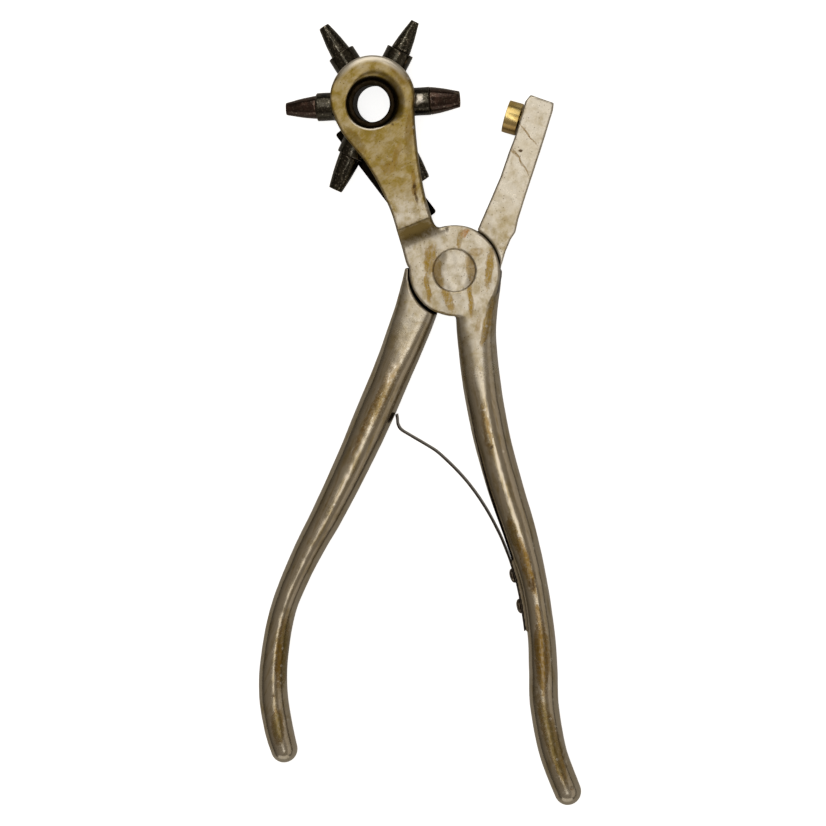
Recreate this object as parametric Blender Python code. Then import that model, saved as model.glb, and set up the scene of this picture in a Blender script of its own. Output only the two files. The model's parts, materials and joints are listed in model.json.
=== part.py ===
"""Six-tube revolving leather punch, forged plier pattern, lying on its back.

X runs to the anvil side, Y runs from the handles to the jaws, Z comes up out of the
front face. The origin is on the pivot's axis, in the plane of the rear face.
"""
import math

import bmesh
import bpy
from mathutils import Matrix, Vector

MM = 0.001

# ---- driving dimensions, all in metres -----------------------------------------------------
LEVER_DEPTH = 11.0 * MM
MID_Z = LEVER_DEPTH / 2
GAP = 0.3 * MM
RUN_GAP = 0.25 * MM
PAST = 5.0 * MM

# half-lap joint round the pivot
DISC_R = 13.05 * MM
REAR_DISC_R = 12.6 * MM
LAP_GAP = 0.3 * MM
PIVOT_SHANK_R = 4.0 * MM
PIVOT_HEAD_R = 6.1 * MM
PIVOT_HEAD_T = 1.4 * MM
SHOULDER_RELIEF_CENTRE = (-0.7 * MM, -1.0 * MM)
SHOULDER_RELIEF_R = 13.1 * MM

# cheek that carries the turret
CHEEK_REAR_Z = 9.85 * MM
CHEEK_FRONT_Z = 13.8 * MM
RING_CENTRE = (-23.45 * MM, 49.6 * MM)
RING_R = 12.1 * MM
BEND_POINT = (-11.3 * MM, 13.5 * MM)
BEND_ANGLE = math.radians(21.8)
BEND_LENGTH = 3.3 * MM
COUNTERSINK_R = 7.9 * MM
COUNTERSINK_FLOOR_R = 7.1 * MM
COUNTERSINK_FLOOR_Z = 11.2 * MM

# turret
TURRET = (-23.8 * MM, 47.9 * MM)
TURRET_PHASE = math.radians(3.1)
TUBE_COUNT = 6
TUBE_STEP = math.tau / TUBE_COUNT
HUB_R = 11.8 * MM
HUB_HALF_DEPTH = 3.75 * MM
BOSS_R = 4.05 * MM
BOSS_START = 10.5 * MM
SWEEP_R = 27.6 * MM
DETENT_RADIUS = 8.9 * MM
DETENT_R = 1.1 * MM
DETENT_DEPTH = 0.5 * MM

# hollow axle and its washers
AXLE_BORE_R = 5.37 * MM
AXLE_R = 5.95 * MM
AXLE_REAR_FLANGE_R = 6.9 * MM
AXLE_FRONT_FLANGE_R = 6.75 * MM
AXLE_REAR_Z = 0.3 * MM
AXLE_FRONT_Z = 12.3 * MM
AXLE_FLANGE_T = 0.6 * MM
AXLE_WINDOW = 4.2 * MM
REAR_WASHER_R = 7.15 * MM
REAR_WASHER_Z = (1.0 * MM, 1.5 * MM)
FRONT_WASHER_R = 9.6 * MM
FRONT_WASHER_Z = (9.4 * MM, 9.7 * MM)

# punch tubes, each screwed into its boss: angle step from the working place, distances of the
# boss's face and of the tip from the turret's centre, tip radius and cone base radius
TUBE_SHANK_R = 2.55 * MM
SLUG_CHANNEL_R = 2.3 * MM
TUBE_SHANK_START = 8.0 * MM
TUBE_WALL_AT_TIP = 0.3 * MM
TUBES = {
    "punch_tube_1": (1, 17.1 * MM, 26.5 * MM, 1.20 * MM, 2.85 * MM),
    "punch_tube_2": (2, 17.5 * MM, 26.6 * MM, 1.55 * MM, 2.95 * MM),
    "punch_tube_3": (3, 16.5 * MM, 25.5 * MM, 1.80 * MM, 3.35 * MM),
    "punch_tube_4": (4.04, 16.5 * MM, 27.1 * MM, 2.00 * MM, 3.30 * MM),
    "punch_tube_5": (5, 16.5 * MM, 26.2 * MM, 2.10 * MM, 3.30 * MM),
    "punch_tube_6": (0, 16.5 * MM, 24.9 * MM, 2.35 * MM, 4.00 * MM),
}

# index spring under the turret
INDEX_END = (-9.95 * MM, 13.9 * MM)
INDEX_ANGLE = math.radians(127.5)
INDEX_LENGTH = 35.7 * MM
INDEX_HALF_WIDTH = 4.95 * MM
INDEX_Z = (0.5 * MM, 1.15 * MM)
INDEX_RELIEF_R = 7.5 * MM
INDEX_RIVET_PLACES = (2.8 * MM, 7.2 * MM)
INDEX_RIVET_HEAD_R = 1.8 * MM
INDEX_RIVET_HEAD_Z = (0.05 * MM, 0.4 * MM)
INDEX_RIVET_R = 1.0 * MM
INDEX_RIVET_TOP = 4.0 * MM
BUMP_TOP_Z = 1.55 * MM
BUMP_R = 1.0 * MM

# anvil arm and anvil
ARM_Z = (0.3 * MM, 10.7 * MM)
ANVIL_FACE = (14.4 * MM, 44.4 * MM)
ANVIL_ANGLE = math.radians(163.9)
ANVIL_R = 4.7 * MM
ANVIL_T = 4.1 * MM
ANVIL_SHANK_R = 2.4 * MM
ANVIL_SHANK_L = 3.6 * MM

# handle spring
SPRING_T = 0.4 * MM
SPRING_HALF_WIDTH = 2.5 * MM
SPRING_RIVETS = {
    "handle_spring_rivet_1": (17.3 * MM, -88.3 * MM, math.radians(195.0)),
    "handle_spring_rivet_2": (19.3 * MM, -97.2 * MM, math.radians(191.0)),
}
SPRING_RIVET_HEAD_R = 2.15 * MM
SPRING_RIVET_HEAD_H = 1.2 * MM
SPRING_RIVET_R = 1.1 * MM
SPRING_RIVET_L = 4.0 * MM

# handles: centre x, centre y, half width, half depth, squareness of the section
PUNCH_HANDLE = [
    (6.6, 0.2, 6.75, 5.5, 6.0),
    (6.0, -12.0, 5.85, 5.5, 5.0),
    (6.2, -21.3, 5.5, 5.45, 3.2),
    (7.9, -35.2, 5.45, 5.3, 2.4),
    (10.6, -49.1, 5.25, 5.2, 2.3),
    (14.45, -63.0, 5.1, 5.1, 2.3),
    (18.9, -76.9, 4.7, 5.0, 2.3),
    (22.7, -90.9, 3.95, 5.0, 2.4),
    (24.8, -104.8, 3.95, 4.9, 2.4),
    (25.5, -115.5, 4.15, 4.9, 2.3),
    (25.9, -126.5, 4.15, 4.8, 2.3),
    (28.4, -139.9, 4.0, 4.7, 2.3),
    (32.7, -151.5, 3.9, 4.5, 2.2),
]
ANVIL_HANDLE = [
    (-9.3, 0.1, 5.2, 5.5, 6.0),
    (-10.3, -7.0, 5.9, 5.5, 5.0),
    (-12.6, -14.5, 5.95, 5.5, 4.0),
    (-18.0, -28.4, 5.6, 5.4, 2.5),
    (-24.0, -42.4, 5.5, 5.3, 2.3),
    (-30.3, -56.4, 5.05, 5.2, 2.3),
    (-37.2, -70.5, 4.6, 5.1, 2.3),
    (-44.6, -84.6, 4.05, 5.0, 2.3),
    (-50.5, -98.8, 3.75, 4.9, 2.3),
    (-53.2, -112.9, 3.95, 4.9, 2.3),
    (-53.6, -124.0, 4.15, 4.8, 2.3),
    (-52.1, -134.1, 4.15, 4.7, 2.3),
    (-50.5, -140.4, 3.9, 4.5, 2.2),
]
HANDLE_SPAN_STEPS = 2
HANDLE_SIDES = 20
HANDLE_END_STEPS = 4
HANDLE_END_LENGTH = 1.05

# outlines, in millimetres, anticlockwise; the arm's right side is drawn in towards the rear
NECK_LEFT = [(-34.0, 43.2), (-32.9, 40.8), (-31.3, 38.4), (-29.2, 35.8), (-25.2, 30.8),
             (-21.4, 24.4), (-18.4, 17.8), (-16.8, 13.1), (-16.0, 9.9), (-15.0, 6.0),
             (-14.0, 2.4), (-13.4, 1.1)]
NECK_RIGHT = [(-3.0, 8.0), (-2.3, 12.1), (-4.1, 12.1), (-5.7, 13.3), (-6.8, 16.2),
              (-8.4, 21.6), (-9.7, 28.3), (-10.8, 36.6), (-11.3, 42.0), (-11.5, 46.0)]
ARM_LEFT = [(21.8, 50.3), (20.3, 48.4), (17.7, 39.5), (16.8, 36.9), (15.9, 34.7), (13.2, 26.9),
            (8.8, 16.7), (6.6, 11.7), (3.5, 5.0), (10.0, 0.95)]
ARM_RIGHT = [(13.45, 0.95), (14.7, 5.3), (16.2, 9.0), (17.6, 11.1), (18.4, 14.8), (20.25, 20.7),
             (25.35, 36.4), (28.3, 45.9), (28.5, 48.0)]
ARM_DRAFT = 1.0
NECK_RELIEF = [(-7.2, 11.5), (-1.5, 11.5), (-1.5, 30.0), (-11.8, 30.0), (-11.3, 27.5),
               (-10.0, 21.4), (-8.6, 16.4), (-7.6, 14.0)]
SPRING_PATH = [(-17.2, -41.7), (-17.0, -42.9), (-16.8, -44.6), (-15.8, -46.2), (-13.2, -47.8),
               (-8.9, -50.3), (-5.4, -52.5), (-1.6, -55.9), (1.9, -59.5), (4.8, -63.0),
               (7.3, -66.5), (9.5, -70.0), (11.4, -73.5), (13.1, -76.9), (14.6, -80.5),
               (16.0, -84.2), (17.7, -89.7), (19.2, -96.7), (20.3, -104.2)]

ROUND = 44
HUB_ROUND = 48
TUBE_ROUND = 20
SMALL_ROUND = 16

# name: colour, metallic, roughness
FINISHES = {
    "nickel": ((0.52, 0.46, 0.36, 1.0), 1.0, 0.36),
    "blued_steel": ((0.035, 0.030, 0.028, 1.0), 0.8, 0.42),
    "spring_steel": ((0.045, 0.040, 0.036, 1.0), 0.9, 0.40),
    "brass": ((0.55, 0.36, 0.11, 1.0), 1.0, 0.30),
}


# ---- helpers -------------------------------------------------------------------------------
def clear_scene():
    for item in list(bpy.data.objects):
        bpy.data.objects.remove(item, do_unlink=True)


def make_material(name, finish):
    colour, metallic, roughness = FINISHES[finish]
    material = bpy.data.materials.new(name)
    material.use_nodes = True
    shader = material.node_tree.nodes["Principled BSDF"]
    shader.inputs["Base Color"].default_value = colour
    shader.inputs["Metallic"].default_value = metallic
    shader.inputs["Roughness"].default_value = roughness
    return material


def object_from_bmesh(name, shape):
    """A closed, outward-facing object from a bmesh, which is used up."""
    bmesh.ops.triangulate(shape, faces=[f for f in shape.faces if len(f.verts) > 4])
    bmesh.ops.recalc_face_normals(shape, faces=shape.faces)
    mesh = bpy.data.meshes.new(name)
    shape.to_mesh(mesh)
    shape.free()
    item = bpy.data.objects.new(name, mesh)
    bpy.context.scene.collection.objects.link(item)
    return item


def skin(name, rings):
    """A closed surface over rings that all have the same number of points."""
    shape = bmesh.new()
    rows = [[shape.verts.new(point) for point in ring] for ring in rings]
    count = len(rows[0])
    for low, high in zip(rows, rows[1:]):
        for i in range(count):
            j = (i + 1) % count
            shape.faces.new((low[i], low[j], high[j], high[i]))
    shape.faces.new(rows[0][::-1])
    shape.faces.new(rows[-1])
    return object_from_bmesh(name, shape)


def prism(name, outline, z_low, z_high):
    rings = [[(x, y, z) for x, y in outline] for z in (z_low, z_high)]
    return skin(name, rings)


def in_metres(points):
    return [(x * MM, y * MM) for x, y in points]


def circle(radius, sides):
    return [(radius * math.cos(math.tau * i / sides), radius * math.sin(math.tau * i / sides))
            for i in range(sides)]


def cylinder(name, centre, radius, z_low, z_high, sides=ROUND):
    outline = [(centre[0] + x, centre[1] + y) for x, y in circle(radius, sides)]
    return prism(name, outline, z_low, z_high)


def cone(name, centre, ends, sides=ROUND):
    """A turned shape without a bore, from pairs of radius and z."""
    rings = [[(centre[0] + x, centre[1] + y, z) for x, y in circle(radius, sides)]
             for radius, z in ends]
    return skin(name, rings)


def turned_ring(name, profile, sides):
    """A ring turned about Z from a closed profile of radius and z."""
    shape = bmesh.new()
    columns = []
    for i in range(sides):
        angle = math.tau * i / sides
        columns.append([shape.verts.new((r * math.cos(angle), r * math.sin(angle), z))
                        for r, z in profile])
    for i in range(sides):
        here = columns[i]
        there = columns[(i + 1) % sides]
        for k in range(len(profile)):
            n = (k + 1) % len(profile)
            shape.faces.new((here[k], there[k], there[n], here[n]))
    return object_from_bmesh(name, shape)


def turned_solid(name, profile, sides):
    """A solid turned about Z from an open profile whose two ends are on the axis."""
    shape = bmesh.new()
    first = shape.verts.new((0.0, 0.0, profile[0][1]))
    last = shape.verts.new((0.0, 0.0, profile[-1][1]))
    rows = [[shape.verts.new((x, y, z)) for x, y in circle(r, sides)]
            for r, z in profile[1:-1]]
    for i in range(sides):
        j = (i + 1) % sides
        shape.faces.new((first, rows[0][j], rows[0][i]))
        shape.faces.new((last, rows[-1][i], rows[-1][j]))
        for low, high in zip(rows, rows[1:]):
            shape.faces.new((low[i], low[j], high[j], high[i]))
    return object_from_bmesh(name, shape)


def combine(target, tool, operation):
    """Join the tool to the target, or cut it away, and remove the tool."""
    modifier = target.modifiers.new(operation.lower(), "BOOLEAN")
    modifier.operation = operation
    modifier.solver = "EXACT"
    modifier.object = tool
    bpy.context.view_layer.update()
    graph = bpy.context.evaluated_depsgraph_get()
    mesh = bpy.data.meshes.new_from_object(target.evaluated_get(graph))
    target.modifiers.clear()
    target.data = mesh
    bpy.data.objects.remove(tool, do_unlink=True)


def cut(target, tool):
    combine(target, tool, "DIFFERENCE")


def add(target, tool):
    combine(target, tool, "UNION")


def together(name, items):
    """One tool made of several that don't touch each other."""
    shape = bmesh.new()
    for item in items:
        shape.from_mesh(item.data)
        bpy.data.objects.remove(item, do_unlink=True)
    return object_from_bmesh(name, shape)


def turn_mesh(item, matrix):
    item.data.transform(matrix)


def finish(item, finish_name, crease=35.0):
    item.data.materials.clear()
    item.data.materials.append(make_material(item.name, finish_name))
    item.data.shade_smooth()
    item.data.set_sharp_from_angle(angle=math.radians(crease))
    return item


def smooth_path(points, steps):
    """Points on a Catmull-Rom curve through the given points, of any dimension."""
    result = []
    last = len(points) - 1
    for i in range(last):
        p0 = points[max(i - 1, 0)]
        p1 = points[i]
        p2 = points[i + 1]
        p3 = points[min(i + 2, last)]
        for step in range(steps):
            t = step / steps
            result.append(tuple(
                0.5 * (2 * b + (c - a) * t + (2 * a - 5 * b + 4 * c - d) * t * t
                       + (3 * b - a - 3 * c + d) * t ** 3)
                for a, b, c, d in zip(p0, p1, p2, p3)))
    result.append(tuple(points[last]))
    return result


def oval_section(centre, direction, half_width, half_depth, centre_z, squareness):
    """A rounded section square to the handle's direction, as a ring of points."""
    across = Vector((direction.y, -direction.x))
    ring = []
    for i in range(HANDLE_SIDES):
        angle = math.tau * (i + 0.5) / HANDLE_SIDES
        c = math.cos(angle)
        s = math.sin(angle)
        u = half_width * math.copysign(abs(c) ** (2 / squareness), c)
        w = half_depth * math.copysign(abs(s) ** (2 / squareness), s)
        ring.append((centre.x + across.x * u, centre.y + across.y * u, centre_z + w))
    return ring


def handle_solid(name, stations):
    """A bar of oval section along the stations, flat at its start and round at its end."""
    path = smooth_path(stations, HANDLE_SPAN_STEPS)
    rings = []
    for i, (x, y, half_width, half_depth, squareness) in enumerate(path):
        before = Vector(path[max(i - 1, 0)][:2])
        after = Vector(path[min(i + 1, len(path) - 1)][:2])
        direction = (after - before).normalized()
        centre = Vector((x, y)) * MM
        depth = half_depth * MM
        rings.append(oval_section(centre, direction, half_width * MM, depth, depth, squareness))
    for step in range(1, HANDLE_END_STEPS + 1):
        turn = math.radians(82.0) * step / HANDLE_END_STEPS
        shrink = math.cos(turn)
        reach = half_width * MM * HANDLE_END_LENGTH * math.sin(turn)
        rings.append(oval_section(centre + direction * reach, direction,
                                  half_width * MM * shrink, depth * shrink, depth, squareness))
    return skin(name, rings)


def along(angle, distance):
    return Vector((math.cos(angle), math.sin(angle))) * distance


def place_on_axis(item, centre, angle):
    """Turn a shape made about Z so that its axis lies level, pointing along the angle."""
    turn_mesh(item, Matrix.Rotation(math.pi / 2, 4, "Y"))
    turn_mesh(item, Matrix.Rotation(angle, 4, "Z"))
    turn_mesh(item, Matrix.Translation((centre[0], centre[1], MID_Z)))
    return item


# ---- the two levers ------------------------------------------------------------------------
def neck_outline():
    """The neck with the ring's arc at its top, anticlockwise."""
    start = math.atan2(NECK_RIGHT[-1][1] * MM - RING_CENTRE[1],
                       NECK_RIGHT[-1][0] * MM - RING_CENTRE[0])
    stop = math.atan2(NECK_LEFT[0][1] * MM - RING_CENTRE[1],
                      NECK_LEFT[0][0] * MM - RING_CENTRE[0]) + math.tau
    count = ROUND * 2 // 3
    arc = []
    for i in range(1, count):
        angle = start + (stop - start) * i / count
        arc.append((RING_CENTRE[0] + RING_R * math.cos(angle),
                    RING_CENTRE[1] + RING_R * math.sin(angle)))
    return in_metres(NECK_RIGHT) + arc + in_metres(NECK_LEFT)


def bend_cutter():
    """What is taken off the neck's front so that it slopes down to the pivot disc."""
    high = CHEEK_FRONT_Z + PAST
    profile = [(-0.02 * MM, CHEEK_FRONT_Z), (BEND_LENGTH, LEVER_DEPTH),
               (40 * MM, LEVER_DEPTH), (40 * MM, high), (-0.02 * MM, high)]
    side = along(BEND_ANGLE, 25 * MM)
    down = along(BEND_ANGLE - math.pi / 2, 1.0)
    rings = []
    for sign in (-1, 1):
        rings.append([(BEND_POINT[0] + sign * side.x + down.x * t,
                       BEND_POINT[1] + sign * side.y + down.y * t, z) for t, z in profile])
    return skin("bend_cutter", rings)


def index_outline(margin):
    """The index spring's outline, a plain rectangle grown by a margin."""
    end = Vector(INDEX_END)
    side = along(INDEX_ANGLE + math.pi / 2, INDEX_HALF_WIDTH + margin)
    low = end - along(INDEX_ANGLE, margin)
    high = end + along(INDEX_ANGLE, INDEX_LENGTH + margin)
    return [tuple(low - side), tuple(high - side), tuple(high + side), tuple(low + side)]


def build_punch_lever():
    lever = prism("punch_lever", neck_outline(), 0.0, CHEEK_FRONT_Z)
    cut(lever, bend_cutter())
    cut(lever, cylinder("turret_well", TURRET, SWEEP_R, -PAST, CHEEK_REAR_Z))
    cut(lever, prism("neck_relief", in_metres(NECK_RELIEF), -PAST, CHEEK_REAR_Z))
    add(lever, handle_solid("handle", PUNCH_HANDLE))
    floor = MID_Z + LAP_GAP / 2
    cut(lever, cylinder("lap", (0, 0), REAR_DISC_R + GAP, -PAST, floor))
    add(lever, cylinder("disc", (0, 0), DISC_R, floor, LEVER_DEPTH))
    cut(lever, cylinder("pivot_hole", (0, 0), PIVOT_SHANK_R + RUN_GAP, -PAST, LEVER_DEPTH + PAST))
    cut(lever, cylinder("pivot_seat", (0, 0), PIVOT_HEAD_R + RUN_GAP,
                        LEVER_DEPTH - PIVOT_HEAD_T - GAP, LEVER_DEPTH + PAST))
    cut(lever, cylinder("axle_hole", TURRET, AXLE_R + RUN_GAP, 0.0, CHEEK_FRONT_Z + PAST))
    slope = (COUNTERSINK_R - COUNTERSINK_FLOOR_R) / (CHEEK_FRONT_Z - COUNTERSINK_FLOOR_Z)
    cut(lever, cone("countersink", TURRET, [
        (COUNTERSINK_FLOOR_R, COUNTERSINK_FLOOR_Z),
        (COUNTERSINK_R + slope * PAST, CHEEK_FRONT_Z + PAST)]))
    cut(lever, prism("index_seat", index_outline(GAP), -PAST, INDEX_Z[1] + GAP))
    for place in INDEX_RIVET_PLACES:
        centre = Vector(INDEX_END) + along(INDEX_ANGLE, place)
        cut(lever, cylinder("index_rivet_hole", centre, INDEX_RIVET_R + GAP, -PAST,
                            INDEX_RIVET_TOP + GAP, SMALL_ROUND))
    for x, y, angle in SPRING_RIVETS.values():
        hole = turned_solid("spring_rivet_hole", [
            (0, -SPRING_RIVET_L - GAP), (SPRING_RIVET_R + GAP, -SPRING_RIVET_L - GAP),
            (SPRING_RIVET_R + GAP, PAST), (0, PAST)], SMALL_ROUND)
        cut(lever, place_on_axis(hole, (x, y), angle))
    return finish(lever, "nickel")


def build_anvil_lever():
    rings = []
    for z, draft in zip(ARM_Z, (ARM_DRAFT, 0.0)):
        outline = in_metres(ARM_LEFT + [(x - draft, y) for x, y in ARM_RIGHT])
        rings.append([(x, y, z) for x, y in outline])
    lever = skin("anvil_lever", rings)
    add(lever, handle_solid("handle", ANVIL_HANDLE))
    add(lever, cylinder("disc", (0, 0), REAR_DISC_R, 0.0, MID_Z))
    floor = MID_Z - LAP_GAP / 2
    cut(lever, cylinder("lap", (0, 0), DISC_R + GAP, floor, LEVER_DEPTH + PAST))
    cut(lever, cylinder("shoulder_relief", SHOULDER_RELIEF_CENTRE, SHOULDER_RELIEF_R, floor,
                        LEVER_DEPTH + PAST))
    cut(lever, cylinder("pivot_hole", (0, 0), PIVOT_SHANK_R + RUN_GAP, -PAST, LEVER_DEPTH + PAST))
    cut(lever, cylinder("pivot_seat", (0, 0), PIVOT_HEAD_R + RUN_GAP, -PAST, PIVOT_HEAD_T + GAP))
    depth = ANVIL_T + ANVIL_SHANK_L + GAP
    socket = turned_solid("anvil_socket", [
        (0, -depth), (ANVIL_SHANK_R + GAP, -depth), (ANVIL_SHANK_R + GAP, 0), (0, 0)], TUBE_ROUND)
    cut(lever, place_on_axis(socket, ANVIL_FACE, ANVIL_ANGLE))
    seat = turned_solid("anvil_seat", [
        (0, -ANVIL_T - GAP), (ANVIL_R + GAP, -ANVIL_T - GAP), (ANVIL_R + GAP, 0), (0, 0)], ROUND)
    cut(lever, place_on_axis(seat, ANVIL_FACE, ANVIL_ANGLE))
    return finish(lever, "nickel")


def build_pivot_rivet():
    profile = [(0, 0), (PIVOT_HEAD_R, 0), (PIVOT_HEAD_R, PIVOT_HEAD_T),
               (PIVOT_SHANK_R, PIVOT_HEAD_T), (PIVOT_SHANK_R, LEVER_DEPTH - PIVOT_HEAD_T),
               (PIVOT_HEAD_R, LEVER_DEPTH - PIVOT_HEAD_T), (PIVOT_HEAD_R, LEVER_DEPTH),
               (0, LEVER_DEPTH)]
    return finish(turned_solid("pivot_rivet", profile, ROUND), "nickel")


# ---- turret --------------------------------------------------------------------------------
def level_bar(name, profile, angle):
    """A round bar about the turret's mid-plane, pointing out along an angle."""
    bar = turned_solid(name, profile, TUBE_ROUND)
    turn_mesh(bar, Matrix.Rotation(math.pi / 2, 4, "Y"))
    turn_mesh(bar, Matrix.Rotation(angle, 4, "Z"))
    return bar


def build_turret_hub(axis):
    """The hub, in the frame of its own axis at mid-depth, with its first boss along X."""
    hub = cylinder("turret_hub", (0, 0), HUB_R, -HUB_HALF_DEPTH, HUB_HALF_DEPTH, HUB_ROUND)
    step = TUBE_SHANK_START - GAP
    socket_r = TUBE_SHANK_R + GAP
    far = HUB_R + PAST * 2
    socket = [(0, AXLE_BORE_R), (SLUG_CHANNEL_R, AXLE_BORE_R), (SLUG_CHANNEL_R, step),
              (socket_r, step), (socket_r, far), (0, far)]
    bosses, sockets = [], []
    for place, boss_end, *_ in TUBES.values():
        boss = [(0, BOSS_START), (BOSS_R, BOSS_START), (BOSS_R, boss_end), (0, boss_end)]
        bosses.append(level_bar("boss", boss, place * TUBE_STEP))
        sockets.append(level_bar("socket", socket, place * TUBE_STEP))
    detent = [(DETENT_R * 1.5, -HUB_HALF_DEPTH - DETENT_DEPTH),
              (DETENT_R * 0.5, -HUB_HALF_DEPTH + DETENT_DEPTH)]
    add(hub, together("bosses", bosses))
    cut(hub, cylinder("axle_bore", (0, 0), AXLE_R + RUN_GAP, -PAST * 2, PAST * 2, HUB_ROUND))
    cut(hub, together("sockets", sockets))
    cut(hub, together("detents", [
        cone("detent", along((index + 0.5) * TUBE_STEP, DETENT_RADIUS), detent, SMALL_ROUND)
        for index in range(TUBE_COUNT)]))
    hub.rotation_euler = (0, 0, TURRET_PHASE)
    hub.parent = axis
    return finish(hub, "blued_steel")


def build_punch_tube(name, axis, step, boss_end, reach, tip_r, base_r):
    bore_r = tip_r - TUBE_WALL_AT_TIP
    collar = boss_end + GAP
    profile = [(bore_r, TUBE_SHANK_START), (TUBE_SHANK_R, TUBE_SHANK_START),
               (TUBE_SHANK_R, collar), (base_r, collar), (tip_r, reach), (bore_r, reach)]
    tube = turned_ring(name, profile, TUBE_ROUND)
    turn_mesh(tube, Matrix.Rotation(math.pi / 2, 4, "Y"))
    tube.rotation_euler = (0, 0, TURRET_PHASE + step * TUBE_STEP)
    tube.parent = axis
    return finish(tube, "blued_steel")


def build_axle_sleeve():
    """A hollow rivet: rolled flanges front and rear, and a window at the working tube."""
    low, high = AXLE_REAR_Z, AXLE_FRONT_Z
    edge = AXLE_FLANGE_T * 0.4
    profile = [(AXLE_BORE_R, low), (AXLE_REAR_FLANGE_R - edge, low), (AXLE_REAR_FLANGE_R, low + edge),
               (AXLE_REAR_FLANGE_R, low + AXLE_FLANGE_T), (AXLE_R, low + AXLE_FLANGE_T),
               (AXLE_R, high - AXLE_FLANGE_T), (AXLE_FRONT_FLANGE_R, high - AXLE_FLANGE_T),
               (AXLE_FRONT_FLANGE_R, high - edge), (AXLE_FRONT_FLANGE_R - edge, high),
               (AXLE_BORE_R + edge, high), (AXLE_BORE_R, high - edge)]
    sleeve = turned_ring("axle_sleeve", profile, ROUND)
    half = AXLE_WINDOW / 2
    rings = [[(x, y, z) for y, z in ((-half, -half), (half, -half), (half, half), (-half, half))]
             for x in (AXLE_BORE_R / 2, AXLE_R + PAST / 2)]
    window = skin("window", rings)
    turn_mesh(window, Matrix.Rotation(TURRET_PHASE, 4, "Z"))
    turn_mesh(window, Matrix.Translation((0, 0, MID_Z)))
    cut(sleeve, window)
    sleeve.location = (TURRET[0], TURRET[1], 0)
    return finish(sleeve, "blued_steel")


def build_washer(name, outer_r, z_range):
    inner_r = AXLE_R + RUN_GAP
    profile = [(inner_r, z_range[0]), (outer_r, z_range[0]), (outer_r, z_range[1]),
               (inner_r, z_range[1])]
    washer = turned_ring(name, profile, ROUND)
    washer.location = (TURRET[0], TURRET[1], 0)
    return finish(washer, "spring_steel")


# ---- springs and their rivets --------------------------------------------------------------
def build_index_spring():
    """A flat strip, cut away round the axle, with one bump under the detent ring."""
    strip = prism("index_spring", index_outline(0.0), *INDEX_Z)
    cut(strip, cylinder("axle_relief", TURRET, INDEX_RELIEF_R, -PAST, PAST))
    bump_angle = TURRET_PHASE + 3.5 * TUBE_STEP
    spot = Vector(TURRET) + along(bump_angle, DETENT_RADIUS)
    middle = (INDEX_Z[0] + INDEX_Z[1]) / 2
    add(strip, cone("bump", spot, [(BUMP_R, middle), (BUMP_R, INDEX_Z[1] + 0.1 * MM),
                                   (BUMP_R * 0.5, BUMP_TOP_Z)], SMALL_ROUND))
    for place in INDEX_RIVET_PLACES:
        centre = Vector(INDEX_END) + along(INDEX_ANGLE, place)
        cut(strip, cylinder("rivet_hole", centre, INDEX_RIVET_R + GAP, -PAST, PAST, SMALL_ROUND))
    return finish(strip, "spring_steel")


def build_index_rivet(name, place):
    low, high = INDEX_RIVET_HEAD_Z
    profile = [(0, low), (INDEX_RIVET_HEAD_R, low), (INDEX_RIVET_HEAD_R, high),
               (INDEX_RIVET_R, high), (INDEX_RIVET_R, INDEX_RIVET_TOP), (0, INDEX_RIVET_TOP)]
    rivet = turned_solid(name, profile, SMALL_ROUND)
    centre = Vector(INDEX_END) + along(INDEX_ANGLE, place)
    rivet.location = (centre.x, centre.y, 0)
    return finish(rivet, "spring_steel")


def build_handle_spring():
    """A leaf with a hooked free end, riveted to the punch lever's handle."""
    path = [Vector(point) * MM for point in SPRING_PATH]
    low, high = MID_Z - SPRING_HALF_WIDTH, MID_Z + SPRING_HALF_WIDTH
    rings = []
    for i, point in enumerate(path):
        direction = (path[min(i + 1, len(path) - 1)] - path[max(i - 1, 0)]).normalized()
        side = Vector((direction.y, -direction.x)) * SPRING_T / 2
        near, far = point - side, point + side
        rings.append([(near.x, near.y, low), (far.x, far.y, low), (far.x, far.y, high),
                      (near.x, near.y, high)])
    strip = skin("handle_spring", rings)
    for x, y, angle in SPRING_RIVETS.values():
        hole = turned_solid("rivet_hole", [
            (0, -PAST / 2), (SPRING_RIVET_R + GAP, -PAST / 2), (SPRING_RIVET_R + GAP, PAST / 2),
            (0, PAST / 2)], SMALL_ROUND)
        cut(strip, place_on_axis(hole, (x, y), angle))
    return finish(strip, "spring_steel")


def build_spring_rivet(name, x, y, angle):
    """A dome-headed rivet whose head stands on the spring's open side."""
    base = SPRING_T / 2 + GAP / 2
    rise = SPRING_RIVET_HEAD_H
    head = SPRING_RIVET_HEAD_R
    profile = [(0, -SPRING_RIVET_L), (SPRING_RIVET_R, -SPRING_RIVET_L), (SPRING_RIVET_R, base),
               (head, base), (head, base + rise * 0.35), (head * 0.8, base + rise * 0.8),
               (head * 0.4, base + rise), (0, base + rise)]
    rivet = turned_solid(name, profile, SMALL_ROUND)
    return finish(place_on_axis(rivet, (x, y), angle), "spring_steel")


def build_anvil():
    """A brass button, face outwards, on a shank pressed into the arm."""
    edge = 0.25 * MM
    profile = [(0, -ANVIL_T - ANVIL_SHANK_L), (ANVIL_SHANK_R, -ANVIL_T - ANVIL_SHANK_L),
               (ANVIL_SHANK_R, -ANVIL_T), (ANVIL_R, -ANVIL_T), (ANVIL_R, -edge),
               (ANVIL_R - edge, 0), (0, 0)]
    anvil = turned_solid("anvil", profile, ROUND)
    return finish(place_on_axis(anvil, ANVIL_FACE, ANVIL_ANGLE), "brass")


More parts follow.
